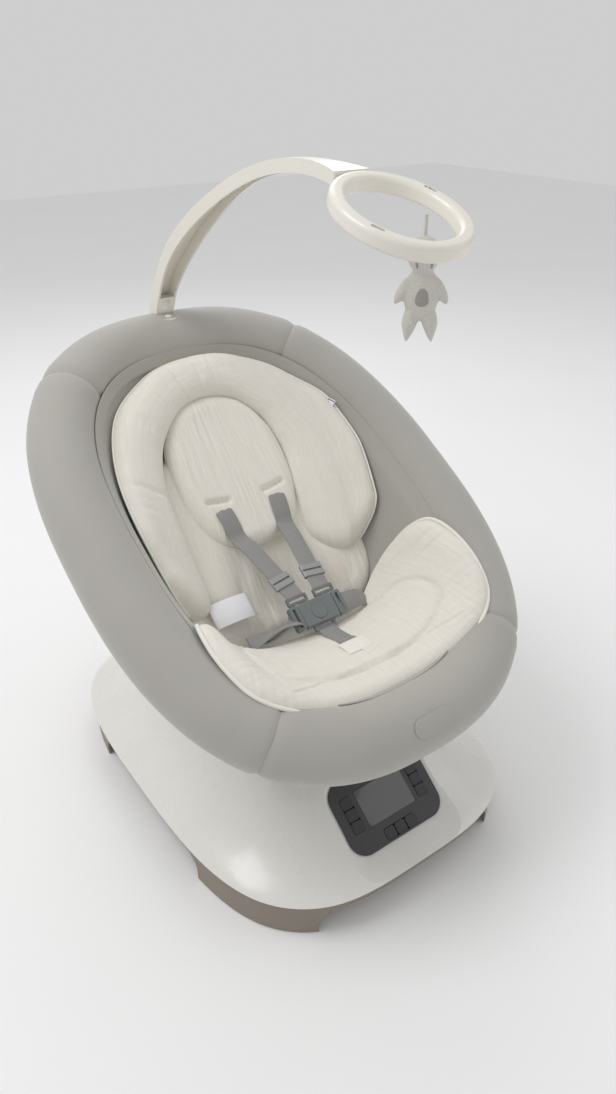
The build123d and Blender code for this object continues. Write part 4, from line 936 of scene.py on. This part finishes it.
def plush():
    """Head, body, arms, flaps and pointed legs, grown into one stuffed skin."""
    bm = bmesh.new()
    blob(bm, (0, 0, -19), (16.5, 15.0, 18.0))
    blob(bm, (0, 0, -57), (18.0, 11.0, 27.0))
    for side in (-1, 1):
        blob(bm, (side * 16.5, 0, -17), (3.6, 7.5, 10.5), side * 0.35)
        blob(bm, (side * 18.5, -1, -53), (5.6, 5.6, 16.0), side * -0.5)
        blob(bm, (side * 10.5, -1, -86), (8.0, 7.2, 20.0), side * -0.12, 0.55)
    skin = new_object("plush_toy", bm, LINEN)
    remesh = skin.modifiers.new("grow", "REMESH")
    remesh.mode, remesh.voxel_size, remesh.use_smooth_shade = "VOXEL", TOY_VOXEL, True
    soften = skin.modifiers.new("soften", "SMOOTH")
    soften.factor, soften.iterations = 0.5, 6
    apply_modifiers(skin)
    for polygon in skin.data.polygons:
        polygon.use_smooth = True
    dress(skin, "toy_body", "toy_fabric", "toy")


def toy_line(name, points, radius, material):
    """Sewn line or thin trim on the toy."""
    bm = bmesh.new()
    tube(bm, arc_points([on_toy(*p) for p in points], 5), radius * MM, sides=8)
    dress(new_object(name, bm, material), "toy_body", "toy_fabric")


plush()
for side in (-1, 1):
    toy_line(f"head_seam_{'left' if side < 0 else 'right'}",
             [(side * 7.5, -12.4, -8), (side * 8.5, -13.4, -19), (side * 7.0, -12.0, -30)], 0.7,
             THREAD)
patch_bm = bmesh.new()
blob(patch_bm, (0, -9.6, -58), (6.5, 1.9, 9.5), 0.0, -0.5)
dress(new_object("belly_patch", patch_bm, THREAD), "toy_body", "toy_fabric")
toy_line("toy_ribbon", [(0, 0, -3), (0, 0, 6), (0, 0, 17)], 1.7, LINEN)
upper_bm = bmesh.new()
tube(upper_bm, [Vector((TOY_X, TOY_Y, toy_high.z + h * MM)) for h in (5.5, 11.0, 17.0, 23.0)],
     1.5 * MM, sides=8)
dress(new_object("ribbon_through_ring", upper_bm, LINEN), "mobile", "toy_fabric")

# ---------------------------------------------------------------- white legends on the keys
PANEL_NORMAL = Vector((0, -0.610764, 0.791812))
PANEL_UP = PANEL_NORMAL.cross(Vector((1, 0, 0)))
STROKE_RADIUS, PRINT_LIFT = 0.34 * MM, 0.06 * MM


def ring_stroke(radius, start=0.0, end=360.0, x=0.0, y=0.0, steps=20):
    """Points of an arc, as one stroke."""
    turns = [math.radians(mix(start, end, k / steps)) for k in range(steps + 1)]
    return [(x + radius * math.cos(a), y + radius * math.sin(a)) for a in turns]


def wave(x, reach=2.6):
    """Points of an upright wavy stroke."""
    return [(x + 0.7 * math.sin(k * math.pi / 4), reach * (k / 6 - 1)) for k in range(13)]


def bar(reach=2.4):
    return [(-reach, 0), (reach, 0)]


LEGENDS = {
    "sound": [[(-2.4, -1.0), (-1.2, -1.0), (0.4, -2.4), (0.4, 2.4), (-1.2, 1.0), (-2.4, 1.0),
               (-2.4, -1.0)], ring_stroke(2.4, -45, 45, 0.4)],
    "lullaby": [ring_stroke(2.6, 60, 300), ring_stroke(2.1, 75, 285, 1.1)],
    "softer": [[(-2.0, 1.0), (0.0, -1.2), (2.0, 1.0)]],
    "faster": [bar(), [(0, -2.4), (0, 2.4)]],
    "sway": [ring_stroke(3.0, 215, 325, 0, 1.6), [(-2.5, -0.1), (-2.6, -1.6)],
             [(2.5, -0.1), (2.6, -1.6)]],
    "slower": [bar()],
    "auto": [ring_stroke(2.5, 20, 340)],
    "power": [ring_stroke(2.4, 120, 420), [(0, 0.6), (0, 3.0)]],
    "vibrate": [wave(-2.0), wave(0.0), wave(2.0)],
}


def legend(key, strokes):
    """Pad-printed symbol just above a key's face."""
    low, high = (Vector(c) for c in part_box(f"button_{key}"))
    centre = (low + high) / 2
    # half the thickness of a tilted slab, from the sides of its box along Y and Z
    depth_y, depth_z = high.y - low.y, high.z - low.z
    c, t = PANEL_NORMAL.z, -PANEL_NORMAL.y
    rise = abs(depth_z * c - depth_y * t) / abs(c * c - t * t) / 2
    face = centre + PANEL_NORMAL * (rise + PRINT_LIFT)
    bm = bmesh.new()
    for stroke in strokes:
        points = [face + Vector((1, 0, 0)) * x * MM + PANEL_UP * y * MM for x, y in stroke]
        tube(bm, points, STROKE_RADIUS, sides=6, flat=0.25)
    dress(new_object(f"legend_{key}", bm, LEGEND), f"button_{key}", "button_plastic")


for key, strokes in LEGENDS.items():
    legend(key, strokes)

# ---------------------------------------------------------------- camera, light and floor
CAMERA_PLACE = Vector((-0.5298, -0.8038, 0.9330))
CAMERA_YAW, CAMERA_PITCH = math.radians(35.89), math.radians(-30.66)
look = Vector((math.sin(CAMERA_YAW) * math.cos(CAMERA_PITCH),
               math.cos(CAMERA_YAW) * math.cos(CAMERA_PITCH), math.sin(CAMERA_PITCH)))
camera_data = bpy.data.cameras.new("camera")
camera_data.sensor_fit = "VERTICAL"
camera_data.sensor_height = 36.0
camera_data.lens = 27.17
camera = bpy.data.objects.new("camera", camera_data)
camera.location = CAMERA_PLACE
camera.rotation_euler = look.to_track_quat("-Z", "Y").to_euler()
bpy.context.scene.collection.objects.link(camera)
bpy.context.scene.camera = camera


def soft_light(name, place, target, size, power):
    """Square studio softbox."""
    data = bpy.data.lights.new(name, "AREA")
    data.shape = "SQUARE"
    data.size = size
    data.energy = power
    lamp = bpy.data.objects.new(name, data)
    lamp.location = place
    lamp.rotation_euler = (Vector(target) - Vector(place)).to_track_quat("-Z", "Y").to_euler()
    bpy.context.scene.collection.objects.link(lamp)


soft_light("key_softbox", (-1.3, 0.5, 2.6), (0, 0, 0.4), 1.3, 26)
soft_light("fill_softbox", (1.9, -1.5, 1.3), (0, 0, 0.3), 1.6, 5)
soft_light("rear_softbox", (0.9, 1.7, 1.9), (0, 0, 0.4), 1.4, 9)

floor_bm = bmesh.new()
bmesh.ops.create_grid(floor_bm, x_segments=2, y_segments=2, size=6.0)
floor_material, floor_tree = start_material("pale_studio_floor")
floor_place = add_node(floor_tree, "ShaderNodeTexCoord").outputs["Object"]
floor_cloud = add_node(floor_tree, "ShaderNodeTexNoise", {"Vector": floor_place,
                                                         "Scale": 3.0}).outputs[0]
close_material(floor_tree, two_tones(floor_tree, floor_cloud, "#f4f4f4", "#f8f8f8"),
               roughness_band(floor_tree, floor_cloud, 0.85, 0.95))
new_object("studio_floor", floor_bm, floor_material)

world = bpy.data.worlds.new("studio")
world.use_nodes = True
world.node_tree.nodes["Background"].inputs[0].default_value = (1.0, 1.0, 1.0, 1.0)
world.node_tree.nodes["Background"].inputs[1].default_value = 0.62
bpy.context.scene.world = world
bpy.context.scene.view_settings.view_transform = "Standard"
